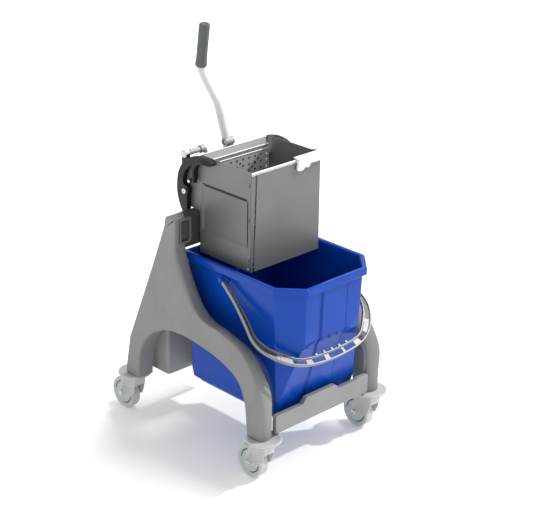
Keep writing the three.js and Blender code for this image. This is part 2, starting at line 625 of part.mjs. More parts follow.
function leverGrip() {
  const axis = GRIP_TOP.clone().sub(GRIP_LOW);
  const length = axis.length();
  const bore = TUBE_R + 1.4;
  const turn = new THREE.Quaternion()
    .setFromUnitVectors(new THREE.Vector3(0, 0, 1), axis.normalize());
  const profile = [[bore, 0], [GRIP_R - 1.2, 0], [GRIP_R, 4], [GRIP_R - 0.2, 11],
    [GRIP_R - 1, 17], [GRIP_R - 1, length - 30], [GRIP_R - 0.6, length - 4],
    [GRIP_R - 2.5, length], [0, length], [0, length - 18], [bore, length - 18]];
  return turned(profile, 20).applyQuaternion(turn).translate(HANDLE_X, GRIP_LOW.y, GRIP_LOW.z);
}
place(trolley, 'lever_grip', leverGrip(), GRIP_PLASTIC);

// ---------------------------------------------------------------- origin
// The origin is on the floor under the middle of the whole object's length.
const reach = new THREE.Box3().setFromObject(trolley);
const part = new THREE.Group();
trolley.position.set(0, -(reach.min.y + reach.max.y) / 2, -FLOOR);
part.add(trolley);

export default part;
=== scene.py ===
"""Looks of the mop-bucket trolley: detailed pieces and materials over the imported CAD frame.

Lengths in this script are in millimetres with +Z up, +X to the right seen from the front and the
front facing -Y. Y counts from the middle between the caster stems; spot() turns a point into the
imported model's metres. A caster is drawn about its stem, above a floor at zero, and then copied
to the corners and raised by FLOOR.
"""
import math

import bmesh
import bpy
from mathutils import Matrix, Vector
from mathutils.geometry import tessellate_polygon


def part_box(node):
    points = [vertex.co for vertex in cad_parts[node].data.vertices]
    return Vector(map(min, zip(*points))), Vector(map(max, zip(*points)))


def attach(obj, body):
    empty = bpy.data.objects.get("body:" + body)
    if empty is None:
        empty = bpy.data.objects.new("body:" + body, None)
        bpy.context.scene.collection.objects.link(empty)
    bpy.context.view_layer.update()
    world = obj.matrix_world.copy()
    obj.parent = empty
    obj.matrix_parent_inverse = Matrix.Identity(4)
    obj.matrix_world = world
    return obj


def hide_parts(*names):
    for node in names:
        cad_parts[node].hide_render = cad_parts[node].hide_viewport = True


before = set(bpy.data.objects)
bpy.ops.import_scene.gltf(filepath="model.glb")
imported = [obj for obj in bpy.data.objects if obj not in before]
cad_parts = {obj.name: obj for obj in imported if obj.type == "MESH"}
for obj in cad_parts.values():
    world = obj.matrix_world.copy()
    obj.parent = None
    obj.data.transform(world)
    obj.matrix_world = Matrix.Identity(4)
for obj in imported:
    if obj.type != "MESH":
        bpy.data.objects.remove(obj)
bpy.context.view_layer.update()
FLOOR = 10
BEAM_FRONT, BEAM_LOW = 65, 481
SHIFT_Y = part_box("rear_crossbeam")[0][1] * 1000 - BEAM_FRONT
SHIFT_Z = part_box("rear_crossbeam")[0][2] * 1000 - BEAM_LOW


def spot(x, y, z):
    return Vector((x / 1000, (y + SHIFT_Y) / 1000, (z + SHIFT_Z) / 1000))


def add(name, data):
    """Puts a mesh, a light or a camera into the scene as an object."""
    made = bpy.data.objects.new(name, data)
    bpy.context.collection.objects.link(made)
    return made


# ---------------- camera and light
CAMERA = {"place": (-2233.5, -2364.2, 1800.8), "azimuth": -134.36674, "height": 22.88421,
          "roll": 0.77376, "lens": 99.17}


def set_camera():
    """A long lens at front left and above, looking along its azimuth and height in degrees."""
    data = bpy.data.cameras.new("camera")
    data.lens = CAMERA["lens"]
    data.sensor_width = 36
    camera = add("camera", data)
    turn = (Matrix.Rotation(math.radians(CAMERA["azimuth"] + 90), 4, "Z")
            @ Matrix.Rotation(math.radians(90 - CAMERA["height"]), 4, "X")
            @ Matrix.Rotation(math.radians(CAMERA["roll"]), 4, "Z"))
    camera.matrix_world = Matrix.Translation(spot(*CAMERA["place"])) @ turn
    bpy.context.scene.camera = camera


def sun_light(name, travel, energy, spread):
    """A sun shining along a direction, as wide in the sky as its spread in degrees."""
    data = bpy.data.lights.new(name, "SUN")
    data.energy = energy
    data.angle = math.radians(spread)
    add(name, data).rotation_euler = Vector(travel).to_track_quat("-Z", "Y").to_euler()


def set_light():
    """A bright white room, a soft light overhead and a harder one from the upper right."""
    world = bpy.data.worlds.new("studio")
    bpy.context.scene.world = world
    world.use_nodes = True
    sky = world.node_tree.nodes["Background"]
    sky.inputs["Color"].default_value = (1, 1, 1, 1)
    sky.inputs["Strength"].default_value = 0.8
    sun_light("overhead", (-0.32, 0.04, -0.95), 1.1, 14)
    sun_light("right", (-0.7, 0.34, -0.62), 2.2, 2)
    bpy.context.scene.view_settings.view_transform = "Standard"


# ---------------- materials
def linear(*levels):
    """Screen levels from 0 to 255 as the linear colour a shader takes."""
    out = []
    for level in levels:
        v = level / 255
        out.append(v / 12.92 if v <= 0.04045 else ((v + 0.055) / 1.055) ** 2.4)
    return (*out, 1)


class Surface:
    """A node material built round one Principled shader."""

    def __init__(self, name, **sockets):
        self.material = bpy.data.materials.new(name)
        self.material.use_nodes = True
        self.tree = self.material.node_tree
        self.shader = self.tree.nodes["Principled BSDF"]
        for socket, value in sockets.items():
            self.shader.inputs[socket.replace("_", " ")].default_value = value
        self.place = self.node("ShaderNodeTexCoord").outputs["Object"]

    def node(self, kind, **values):
        """A new node with values in its input sockets."""
        made = self.tree.nodes.new(kind)
        for socket, value in values.items():
            made.inputs[socket.replace("_", " ")].default_value = value
        return made

    def link(self, source, target):
        self.tree.links.new(source, target)

    def noise(self, scale, detail, stretch=(1, 1, 1)):
        fit = self.node("ShaderNodeMapping", Scale=stretch)
        self.link(self.place, fit.inputs["Vector"])
        made = self.node("ShaderNodeTexNoise", Scale=scale, Detail=detail)
        self.link(fit.outputs["Vector"], made.inputs["Vector"])
        return made.outputs["Fac"]

    def spread(self, source, low, high, to_low, to_high):
        made = self.node("ShaderNodeMapRange", From_Min=low, From_Max=high, To_Min=to_low,
                         To_Max=to_high)
        self.link(source, made.inputs["Value"])
        return made.outputs["Result"]

    def mottle(self, factor, levels, tint):
        """Base colour that wanders by the tint, darker and lighter than the levels."""
        base = linear(*levels)[:3]
        made = self.node("ShaderNodeMix")
        made.data_type = "RGBA"
        made.inputs["A"].default_value = (*(c * (1 - tint) for c in base), 1)
        made.inputs["B"].default_value = (*(min(1, c * (1 + tint)) for c in base), 1)
        self.link(factor, made.inputs["Factor"])
        self.link(made.outputs["Result"], self.shader.inputs["Base Color"])

    def rough(self, source, low, high):
        self.link(self.spread(source, 0.3, 0.7, low, high), self.shader.inputs["Roughness"])

    def bump(self, source, strength, depth):
        made = self.node("ShaderNodeBump", Strength=strength, Distance=depth)
        self.link(source, made.inputs["Height"])
        self.link(made.outputs["Normal"], self.shader.inputs["Normal"])


def moulded(name, levels, roughness, spread=0.06, grain=900, depth=0.00006, ior=1.46):
    """Injection-moulded plastic: faint mottling, a fine grain and uneven gloss."""
    surface = Surface(name, Metallic=0.0, IOR=ior)
    surface.mottle(surface.spread(surface.noise(14, 4), 0.35, 0.65, 0, 1), levels, 0.05)
    surface.rough(surface.noise(60, 3), roughness - spread, roughness + spread)
    surface.bump(surface.noise(grain, 2), 0.35, depth)
    return surface.material


def sheet_steel(name, levels, roughness, stretch, metallic):
    """Satin sheet metal: fine straight brushing and soft cloudy variation."""
    surface = Surface(name, Metallic=metallic)
    brushing = surface.noise(220, 4, stretch)
    surface.mottle(surface.spread(surface.noise(9, 3), 0.3, 0.7, 0, 1), levels, 0.06)
    surface.rough(brushing, roughness - 0.05, roughness + 0.06)
    surface.bump(brushing, 0.12, 0.00004)
    return surface.material


MATERIALS = {
    "frame": moulded("frame grey", (126, 126, 126), 0.5),
    "bar": moulded("bar grey", (136, 136, 136), 0.5),
    # painted shade: dark grey for the tower sockets' recesses, the rear beam and the socket bore's
    # face
    "shade": moulded("painted shade grey", (66, 66, 65), 0.55),
    "box": moulded("box grey", (146, 146, 146), 0.56),
    "bumper": moulded("bumper grey", (184, 184, 182), 0.45),
    "fork": moulded("fork grey", (184, 186, 182), 0.42, ior=1.5),
    "disc": moulded("wheel disc", (176, 188, 181), 0.25, ior=1.5),
    # painted shade: the wheel disc's colour darkened for its arc slots
    "arc": moulded("wheel slot painted shade", (34, 50, 46), 0.5),
    "tyre": moulded("tyre rubber", (184, 187, 184), 0.6, grain=1500),
    "bucket": moulded("bucket blue", (7, 65, 163), 0.2, spread=0.04, depth=0.00003, ior=1.3),
    "bail": sheet_steel("bail silver", (128, 128, 128), 0.28, (1, 1, 1), 0.35),
    # painted shade: dark grey laid in the bail's hollows
    "web": moulded("bail web", (66, 63, 62), 0.35, spread=0.05, ior=1.5),
    "steel": sheet_steel("wringer steel", (114, 114, 113), 0.44, (0.05, 0.05, 1), 0.25),
    # painted shade: dark steel laid over the folds of the wringer sides' pressed fields
    "fold_shade": sheet_steel("wringer fold painted shade", (52, 52, 52), 0.5, (0.05, 0.05, 1), 0.25),
    # painted shade: dark steel on the wringer's back panel, seen through the press plate's holes
    "painted_shade_back": sheet_steel("back steel painted shade", (50, 50, 50), 0.5, (0.05, 0.05, 1), 0.4),
    # painted highlight: light steel on the front hem and along the press rail's folds
    "edge": sheet_steel("edge steel painted highlight", (212, 212, 212), 0.4, (0.02, 1, 1), 0.2),
    "rail": sheet_steel("rail steel", (168, 168, 167), 0.42, (0.05, 1, 1), 0.3),
    "bright": sheet_steel("bright steel", (206, 206, 206), 0.26, (1, 1, 0.1), 0.8),
    "press": sheet_steel("press steel", (206, 206, 204), 0.42, (0.05, 1, 1), 0.3),
    "shaft": moulded("shaft paint", (222, 222, 221), 0.35),
    "bolt": moulded("bolt paint", (166, 166, 165), 0.35),
    # painted shade: a darker grey of the frame plastic for the tower sockets' rims
    "rim": moulded("rim painted shade grey", (94, 94, 93), 0.5),
    "white": moulded("white plastic", (236, 236, 235), 0.35),
    "tube": moulded("painted tube", (206, 206, 205), 0.3),
    "black": moulded("black plastic", (20, 20, 21), 0.45, ior=1.36),
    "jet": moulded("jet plastic", (6, 6, 6), 0.45, ior=1.3),
    "grip": moulded("grip slate", (82, 86, 88), 0.55),
}
HANDS = (("left", -1), ("right", 1))


# ---------------- mesh building
def tidy(bm):
    bmesh.ops.remove_doubles(bm, verts=bm.verts, dist=1e-6)
    bmesh.ops.recalc_face_normals(bm, faces=bm.faces)


def model(name, points, faces):
    """An object from millimetre points, with normals facing out."""
    bm = bmesh.new()
    verts = [bm.verts.new(spot(*p)) for p in points]
    for face in faces:
        bm.faces.new([verts[i] for i in face])
    tidy(bm)
    mesh = bpy.data.meshes.new(name)
    bm.to_mesh(mesh)
    bm.free()
    return add(name, mesh)


def settle(obj):
    """Applies an object's modifiers to its mesh."""
    graph = bpy.context.evaluated_depsgraph_get()
    mesh = bpy.data.meshes.new_from_object(obj.evaluated_get(graph))
    obj.modifiers.clear()
    old = obj.data
    obj.data = mesh
    bpy.data.meshes.remove(old)
    return obj


def round_edges(obj, width, segments=3, angle=30):
    """Rounds the edges that turn by more than the angle."""
    bevel = obj.modifiers.new("round", "BEVEL")
    bevel.width = width / 1000
    bevel.segments = segments
    bevel.limit_method = "ANGLE"
    bevel.angle_limit = math.radians(angle)
    bevel.miter_outer = "MITER_ARC"
    return settle(obj)


def sided(side, near, far):
    """Lowest and highest X of a stretch on one side of the middle plane."""
    return sorted((side * near, side * far))


def ease(t):
    """Rises from 0 to 1 with level ends."""
    return t * t * (3 - 2 * t)


def boolean(obj, tools, operation):
    for tool in tools:
        step = obj.modifiers.new("boolean", "BOOLEAN")
        step.operation = operation
        step.solver = "EXACT"
        step.object = tool
        settle(obj)
        mesh = tool.data
        bpy.data.objects.remove(tool)
        bpy.data.meshes.remove(mesh)
    return obj


def cut(obj, *tools):
    return boolean(obj, tools, "DIFFERENCE")


def join(obj, *others):
    return boolean(obj, others, "UNION")


def finish_piece(obj, look, body, node=None, angle=32):
    """Shades a piece, gives it its material, its body and the CAD node it stands for."""
    obj.data.materials.clear()
    obj.data.materials.append(MATERIALS[look])
    obj.data.polygons.foreach_set("use_smooth", [True] * len(obj.data.polygons))
    obj.data.set_sharp_from_angle(angle=math.radians(angle))
    shade = obj.modifiers.new("shade", "WEIGHTED_NORMAL")
    shade.keep_sharp = True
    shade.weight = 80
    settle(obj)
    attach(obj, body)
    if node:
        obj.name = f"{node}_surface"
        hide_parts(node)


def linked_copy(obj, name, move):
    """A copy of a piece with its mesh moved by a matrix."""
    mesh = obj.data.copy()
    mesh.transform(move)
    return add(name, mesh)


def flipped(obj, name):
    """A copy of a piece mirrored in the middle plane."""
    made = linked_copy(obj, name, Matrix.Scale(-1, 4, (1, 0, 0)))
    made.data.flip_normals()
    return made


def finish_pair(piece, look, body, node=None, angle=32):
    """Finishes a left-hand piece and its mirror image on the right."""
    other = flipped(piece, piece.name.replace("_left", "_right"))
    for made, (hand, _) in zip((piece, other), HANDS):
        finish_piece(made, look, body, node and f"{node}_{hand}", angle)


def discard(*pieces):
    for piece in pieces:
        bpy.data.objects.remove(piece)


def skin(name, rings, closed=False):
    """Joins rings of equal length into a surface, with a face over each end."""
    count, last = len(rings[0]), len(rings) - 1
    faces = []
    for r in range(last + closed):
        a, b = r * count, (r + 1) % len(rings) * count
        faces += [(a + i, a + (i + 1) % count, b + (i + 1) % count, b + i) for i in range(count)]
    if not closed:
        faces += [tuple(reversed(range(count))), tuple(range(last * count, (last + 1) * count))]
    return model(name, [p for ring in rings for p in ring], faces)


def smooth_line(points, step):
    """Points of a rounded line through the given ones, about a step apart."""
    out = []
    for a, b, c, d in zip([points[0], *points], points, points[1:], [*points[2:], points[-1]]):
        parts = max(1, round(math.dist(b, c) / step))
        for k in range(parts):
            t = k / parts
            out.append(tuple(
                0.5 * (2 * q + (r - p) * t + (2 * p - 5 * q + 4 * r - s) * t * t
                       + (3 * q - p - 3 * r + s) * t ** 3)
                for p, q, r, s in zip(a, b, c, d)))
    return [*out, tuple(points[-1])]


def rounded(corners, radius, steps=4):
    """A closed outline with its corners rounded; radius is one number or one for each corner."""
    out = []
    count = len(corners)
    for i, corner in enumerate(corners):
        r = radius[i] if isinstance(radius, (list, tuple)) else radius
        here = Vector(corner)
        before = Vector(corners[i - 1]) - here
        after = Vector(corners[(i + 1) % count]) - here
        half = before.angle(after) / 2
        reach = min(r / math.tan(half), before.length * 0.49, after.length * 0.49)
        if r <= 0:
            out.append(tuple(here))
            continue
        start = here + before.normalized() * reach
        end = here + after.normalized() * reach
        for k in range(steps + 1):
            t = k / steps
            out.append(tuple((1 - t) ** 2 * start + 2 * t * (1 - t) * here + t * t * end))
    return out


def circle(x, y, radius, sides):
    return [(x + radius * math.cos(2 * math.pi * k / sides),
             y + radius * math.sin(2 * math.pi * k / sides)) for k in range(sides)]


def slot_outline(a, b, radius, steps=6):
    """Outline of a slot with round ends centred on a and b."""
    along = math.atan2(b[1] - a[1], b[0] - a[0])
    out = []
    for centre, turn in ((a, 0.5), (b, -0.5)):
        for k in range(steps + 1):
            angle = along + math.pi * (turn + k / steps)
            out.append((centre[0] + radius * math.cos(angle), centre[1] + radius * math.sin(angle)))
    return out


AXES = {
    "x": lambda a, b, depth: (depth, a, b),
    "y": lambda a, b, depth: (a, depth, b),
    "z": lambda a, b, depth: (a, b, depth),
}


def slab(loops, low, high, unwalled=None):
    """Points and faces of a flat slab from outlines; the first outline is its edge, the others
    are holes, and the unwalled one is left open between its two faces."""
    flat = [p for loop in loops for p in loop]
    count = len(flat)
    triangles = tessellate_polygon([[Vector((a, b, 0)) for a, b in loop] for loop in loops])
    points = [(a, b, low) for a, b in flat] + [(a, b, high) for a, b in flat]
    faces = []
    for tri in triangles:
        faces += [tuple(tri), tuple(count + i for i in reversed(tri))]
    start = 0
    for loop in loops:
        if loop is not unwalled:
            for i in range(len(loop)):
                a, b = start + i, start + (i + 1) % len(loop)
                faces.append((a, b, count + b, count + a))
        start += len(loop)
    return points, faces


def plate(name, loops, axis, low, high):
    """A flat plate square to an axis: the first loop is its outline, the others are holes."""
    points, faces = slab(loops, low, high)
    made = model(name, [AXES[axis](*p) for p in points], faces)
    bm = bmesh.new()
    bm.from_mesh(made.data)
    bmesh.ops.dissolve_limit(bm, angle_limit=0.001, verts=bm.verts, edges=bm.edges)
    bm.to_mesh(made.data)
    bm.free()
    return made


def block(name, x0, x1, y0, y1, z0, z1):
    return plate(name, [[(x0, y0), (x1, y0), (x1, y1), (x0, y1)]], "z", z0, z1)


def turned(name, profile, centre=(0, 0), sides=32, side=1, upright=False):
    """A body of revolution from (radius, height) pairs, along X towards one side or upright."""
    rings = []
    for k in range(sides):
        angle = 2 * math.pi * k / sides
        ring = []
        for radius, height in profile:
            u, v = radius * math.cos(angle), radius * math.sin(angle)
            ring.append((u, v, height) if upright
                        else (side * height, centre[0] + u, centre[1] + v))
        rings.append(ring)
    return skin(name, rings, closed=True)


def rod(name, radius, low, high, centre, sides=32, edge=0.6):
    """A solid rod along X with eased ends."""
    levels = ((low, radius - edge), (low + edge, radius), (high - edge, radius),
              (high, radius - edge))
    return skin(name, [[(height, a, b) for a, b in circle(*centre, r, sides)]
                       for height, r in levels])


def turned_pair(name, profile, centre, look, body, node=None, sides=32):
    """The same turned piece at the left and at the right."""
    for hand, side in HANDS:
        piece = turned(f"{name}_{hand}", profile, centre, sides, side)
        finish_piece(piece, look, body, node and f"{node}_{hand}")


def swept(name, line, radius, place, sides):
    """A round rod along a flat line; place turns a point of its plane and a depth into space."""
    rings = []
    for i, (a, b) in enumerate(line):
        before, after = line[max(i - 1, 0)], line[min(i + 1, len(line) - 1)]
        along = math.dist(before, after)
        na, nb = (before[1] - after[1]) / along, (after[0] - before[0]) / along
        rings.append([place(a + na * v, b + nb * v, u) for u, v in circle(0, 0, radius, sides)])
    return skin(name, rings)


# ---------------- side frames
# outer and inner faces of the side frames, the clearance kept between neighbours, and the height
# at which the legs end
FRAME_OUT = 195
FRAME_IN = 150
GAP = 0.3
LEG_END = 119.6
# front edge in (y, z), how far the surface falls back before it meets the inner side, and the
# radius of the outer edge
FRAME_FRONT = [(48, 487, 12, 6), (37, 459, 15, 8), (19, 423, 17, 8), (-6, 382, 18, 6),
               (-31, 358, 19, 4), (-61, 347, 22, 3), (-104, 341, 26, 3), (-170, 318, 20, 3),
               (-208, 274, 14, 4), (-236, 226, 12, 8), (-240, 180, 14, 14)]
FRAME_ARCH = [(-190, LEG_END), (-187, 160), (-180, 204), (-157, 245), (-104, 270), (-37, 283),
              (32, 288), (85, 280), (140, 250), (175, 198), (185, 136), (185, LEG_END)]
FRAME_REAR = [(233, LEG_END), (233, 137), (217, 220), (131, 423), (84, 540)]
REAR_STEP = 12


def frame_edge():
    """The side frame's edge as (y, z, fall of the surface, edge radius) points."""
    edge = [(46, 560, 6, 4), (47, 525, 8, 5)]
    edge += smooth_line(FRAME_FRONT, 7)
    edge += [(-240, 150, 15, 16), (-240, LEG_END, 15, 16)]
    edge += [(y, z, 0, 5) for y, z in smooth_line(FRAME_ARCH, 8)]
    for a, b in zip(FRAME_REAR, FRAME_REAR[1:]):
        parts = max(1, round(math.dist(a, b) / REAR_STEP))
        edge += [(a[0] + (b[0] - a[0]) * k / parts, a[1] + (b[1] - a[1]) * k / parts, 0, 4)
                 for k in range(parts)]
    edge.append((*FRAME_REAR[-1], 0, 4))
    corner = rounded([(84, 540), (78, 567), (46, 565), (47, 525)], [0, 9, 3, 0], 5)[1:-1]
    edge += [(y, z, 0 if y > 60 else 6, 3) for y, z in corner]
    return edge


def side_frame():
    """Left side frame: rings of its edge outline, from the outer face round to the inner one."""
    edge = frame_edge()
    count = len(edge)
    normals = []
    for i in range(count):
        ty = edge[(i + 1) % count][0] - edge[i][0]
        tz = edge[(i + 1) % count][1] - edge[i][1]
        length = math.hypot(ty, tz)
        normals.append((-tz / length, ty / length))
    inward = []
    for i, (y, z, *_) in enumerate(edge):
        (ay, az), (by, bz) = normals[i - 1], normals[i]
        if z == LEG_END:
            inward.append((1 if y in (-240, 185) else -1, 0))
        else:
            share = 1 + ay * by + az * bz
            inward.append(((ay + by) / share, (az + bz) / share))

    def ring(across):
        out = []
        for (y, z, fall, radius), (ny, nz) in zip(edge, inward):
            x, inset = across(fall, radius)
            out.append((x, y + ny * inset, z + nz * inset))
        return out

    def outer_round(turn):
        return lambda fall, r: (-FRAME_OUT + r * (1 - math.cos(turn)), r * (1 - math.sin(turn)))

    def inner_round(turn):
        return lambda fall, r: (-FRAME_IN - 3 * (1 - math.cos(turn)),
                                fall + 3 * (1 - math.sin(turn)))

    def crown(t):
        return lambda fall, r: (-FRAME_OUT + r + (FRAME_OUT - FRAME_IN - 3 - r) * t,
                                fall * (1 - math.sqrt(1 - t * t)))

    quarter = [math.pi / 2 * k / 6 for k in range(7)]
    rings = [ring(lambda fall, r: (-FRAME_OUT, r + 2))]
    rings += [ring(outer_round(turn)) for turn in quarter]
    rings += [ring(crown(t)) for t in (0.15, 0.3, 0.45, 0.58, 0.7, 0.8, 0.88, 0.94, 0.98)]
    rings += [ring(inner_round(turn)) for turn in reversed(quarter)]
    return skin("side_frame_left", rings)


def build_side_frames():
    finish_pair(side_frame(), "frame", "trolley", "side_frame", angle=40)


def build_tower_sockets():
    """The squared front of each tower: a raised rim in a darker grey of painted shade round a sunk
    panel in painted shade.
    """
    outline = rounded([(-181, 504), (-150, 504), (-150, 563.5), (-181, 563.5)], [1, 8, 2, 1])
    sunk = rounded([(-179.4, 509), (-154, 509), (-154, 559), (-179.4, 559)], [2, 7, 2, 2])
    inner = rounded([(-175, 514), (-159, 514), (-159, 554), (-175, 554)], [1.5, 5, 1.5, 1.5])
    rim = plate("tower_rim_left", [outline, sunk], "y", 40, 46)
    raised = plate("socket_panel_left", [inner], "y", 44.6, 46)
    # the rim takes a darker grey of painted shade
    finish_pair(round_edges(rim, 0.8, 2), "rim", "trolley")
    # the socket body and its sunk panel take the dark grey of painted shade
    finish_pair(plate("tower_socket_left", [outline], "y", 46.2, 60), "shade", "trolley")
    finish_pair(round_edges(raised, 0.6, 2), "shade", "trolley")


# ---------------- bars and box
def build_front_bar():
    """Cross bar with a raised middle, and the shelf behind it."""
    end = FRAME_IN - GAP
    face = rounded([(-end, 124.2), (end, 124.2), (end, 171), (116, 171), (110, 168.8),
                    (53, 168.8), (39, 182.3), (-54, 182.3), (-66, 168.8), (-end, 168.8)],
                   [0, 0, 3, 3, 3, 4, 5, 4, 4, 3])
    bar = plate("front_crossbar", [face], "y", -240, -227.2)
    shelf = block("bar_shelf", -100, 100, -228, -170, 124.2, 139.4)
    finish_piece(round_edges(bar, 1.8, 3), "bar", "trolley", "front_crossbar")
    finish_piece(round_edges(shelf, 2, 2), "bar", "trolley")


def build_beam():
    """Beam between the towers with four shallow pockets in its front and its back, in the dark grey
    of painted shade.
    """
    beam = block("rear_crossbeam", GAP - FRAME_IN, FRAME_IN - GAP, BEAM_FRONT, 84.4,
                 BEAM_LOW + 0.2, 561.8)
    for x in (-120, -40, 40, 120):
        for low, high in ((60, 67), (82, 90)):
            pocket = block("pocket", x - 30, x + 30, low, high, 500, 549)
            beam = cut(beam, round_edges(pocket, 2, 2))
    # the beam takes the dark grey of painted shade
    finish_piece(round_edges(beam, 1.2, 2), "shade", "trolley", "rear_crossbeam")


def build_rear_box():
    """Storage box with rounded corners, a rolled rim, lugs and a tongue."""
    def ring(z, inset):
        back = 226 - 16 * (z - 118) / 262
        x, front, rear = 132 - inset, 150 + inset, back - inset
        corners = rounded([(-x, front), (x, front), (x, rear), (-x, rear)], 10 - inset * 0.6, 6)
        return [(a, b, z) for a, b in corners]

    rings = [ring(z, inset) for z, inset in (
        (118.2, 5), (119, 2), (122, 0.2), (368, 0.2), (376, 0.2), (379, 1), (379.8, 2),
        (379.2, 3.4), (375, 4), (126, 4), (122.6, 7))]
    box = skin("rear_box", rings)
    lugs = round_edges(block("box_lugs", -149.6, 149.6, 151, 165.8, 300.3, 344.7), 2, 2)
    lugs = cut(lugs, block("box_space", -130, 130, 148, 178, 290, 360))
    tongue = round_edges(block("box_tongue", -59.8, 59.8, 10.3, 152, 127.2, 139.3), 3, 3)
    for piece in (lugs, tongue):
        finish_piece(piece, "box", "trolley")
    finish_piece(box, "box", "trolley", "rear_box", angle=40)


# ---------------- casters
STEM_X = 173.6
STEM_Y = 226.2
AXLE = (35, 40)
CORNERS = {"front_left": (-1, -1), "front_right": (1, -1), "rear_left": (-1, 1),
           "rear_right": (1, 1)}


def bumper():
    """Flat ring under a leg with a thick round rim."""
    profile = [(6.2, 102.6), (35, 102.6)]
    for k in range(11):
        turn = math.radians(-80 + 160 * k / 10)
        profile.append((37.6 + 3.3 * math.cos(turn), 105.9 + 3.2 * math.sin(turn)))
    profile += [(33, 108.8), (31.5, 107.6), (6.2, 107.6)]
    return turned("bumper", profile, sides=72, upright=True)


def caster_fork():
    """Fork housing: a crown and two fan-shaped cheeks with raised ribs spread from the axle."""
    cheek = rounded([(-19.8, 96.5), (23.8, 96.5), (43.5, 60), (45.5, 38), (40, 29.6), (31, 30.4),
                     (-5.5, 44), (-12.8, 58), (-18.8, 84)], [3, 6, 12, 8, 8, 8, 2, 3, 4])
    sides = [round_edges(plate("cheek", [cheek], "x", *sided(sign, 14.2, 16.2)), 0.6, 2, 50)
             for sign in (-1, 1)]
    crown = round_edges(block("crown", -16, 16, -19, 23, 74, 97), 3, 3)
    neck = turned("neck", [(0.2, 95), (21, 95), (23.5, 98), (23.5, 101.4), (6.5, 101.8),
                           (5.6, 102.2), (5.6, 118), (0.2, 118)], sides=40,
                  upright=True)
    body = join(crown, *sides)
    tips = ((-5, 47), (-11, 58), (-14, 70), (-17, 82), (-16, 94), (-4, 95), (8, 95), (20, 93))
    for sign in (-1, 1):
        for y, z in tips:
            reach = math.dist((y, z), AXLE)
            uy, uz = (y - AXLE[0]) / reach, (z - AXLE[1]) / reach
            a, b = AXLE[0] + uy * 9, AXLE[1] + uz * 9
            rib = [(a - uz * 0.7, b + uy * 0.7), (a + uz * 0.7, b - uy * 0.7),
                   (y + uz * 1.4, z - uy * 1.4), (y - uz * 1.4, z + uy * 1.4)]
            rib = plate("rib", [rib], "x", *sided(sign, 15.8, 17.3))
            body = join(body, round_edges(rib, 0.45, 2, 50))
    body = cut(body, rod("bore", 4.4, -20, 20, AXLE, sides=24))
    boss = [(4.4, 15.6), (9, 15.6), (9, 17.1), (8.4, 17.4), (4.4, 17.4)]
    body = join(body, *[turned("boss", boss, AXLE, 32, sign) for sign in (-1, 1)])
    return body, neck


def wheel_disc():
    """Disc with a thick hub, a thinner web and a rim."""
    half = [(4.5, 13.3), (9.5, 13.3), (10, 12.8), (10.4, 10), (13, 9.4), (25.8, 10.4),
            (26.6, 9.4), (28.6, 9.4), (29.4, 10.6), (30.6, 10.9)]
    profile = half + [(r, -h) for r, h in reversed(half)]
    return turned("hub", profile, AXLE, 64)


def wheel_arcs():
    """Dark arc slots in both faces of the wheel disc, drawn as strips of the disc's colour in
    painted shade.
    """
    arcs = []
    for side in (-1, 1):
        for middle in (-138, 42):
            rings = []
            for k in range(17):
                angle = math.radians(middle - 42 + 84 * k / 16)
                y, z = math.cos(angle), math.sin(angle)
                rings.append([(side * depth, AXLE[0] + radius * y, AXLE[1] + radius * z)
                              for radius, depth in ((26.6, 9), (26.6, 9.8), (28.6, 9.8), (28.6, 9))])
            arcs.append(skin("arcs", rings))
    return join(*arcs)


def wheel_tyre():
    """Tyre with rounded shoulders."""
    profile = [(30.9, -10.6)]
    for k in range(7):
        turn = math.radians(-90 + 90 * k / 6)
        profile.append((35.9 + 3.9 * math.cos(turn), -8 + 3.9 * math.sin(turn)))
    profile += [(r, -h) for r, h in reversed(profile)]
    return turned("tyre", profile, AXLE, 72)


def axle_bolt():
    """Axle with a domed head at each end."""
    bolt = rod("axle", 3.9, -19, 19, AXLE, sides=24)
    profile = [(0.2, 17.7), (6.6, 17.7), (6.6, 19.6), (5.6, 20.8), (3, 21.1), (2.6, 20.4),
               (0.2, 20.4)]
    return join(bolt, *[turned("head", profile, AXLE, 24, sign) for sign in (-1, 1)])


def build_casters():
    """One caster's pieces, copied to the four corners."""
    fork, neck = caster_fork()
    pieces = ((bumper(), "bumper", "trolley", "bumper_"), (fork, "fork", "caster_", "fork_"),
              (neck, "fork", "caster_", None), (wheel_disc(), "disc", "wheel_", "hub_"),
              (wheel_arcs(), "arc", "wheel_", None), (wheel_tyre(), "tyre", "wheel_", "tyre_"),
              (axle_bolt(), "bright", "caster_", "axle_"))
    for corner, (side, end) in CORNERS.items():
        place = Matrix.Translation((side * STEM_X / 1000, end * STEM_Y / 1000, FLOOR / 1000))
        for piece, look, body, node in pieces:
            copy = linked_copy(piece, f"{piece.name}_{corner}", place)
            carrier = body if body == "trolley" else body + corner
            finish_piece(copy, look, carrier, node and node + corner, 40)
    discard(*[piece for piece, *_ in pieces])


# ---------------- bucket
# z, side, chamfer start, nose, front, dip of the middle, rear, groove depth
BUCKET = [
    (140, 121, -200, 118, -205, 0, 50, 0),
    (148, 124, -205, 121.5, -208.5, 0, 70, 0.6),
    (172, 127.5, -211, 125, -214.5, 0, 72, 1.4),
    (313, 129.5, -212, 88.5, -252.5, 3, 74, 1.8),
    (334, 130, -212, 86, -261.5, 0, 74, 2.2),
    (450, 134.5, -213, 88.5, -266, 0, 74, 2.4),
    (462, 134.9, -213.2, 88.5, -266.3, 0, 74, 2.4),
]
BUCKET_RIM = (144.5, -220, 93, -275.2, 0, 79.8, 0)
# x and share of the groove depth along the front face
GROOVES = ((-47, 0), (-43.5, 1.9), (-36, 1.9), (-33, 0), (40, 0), (41.5, -0.5), (43, -0.5),
           (45, 0.3))


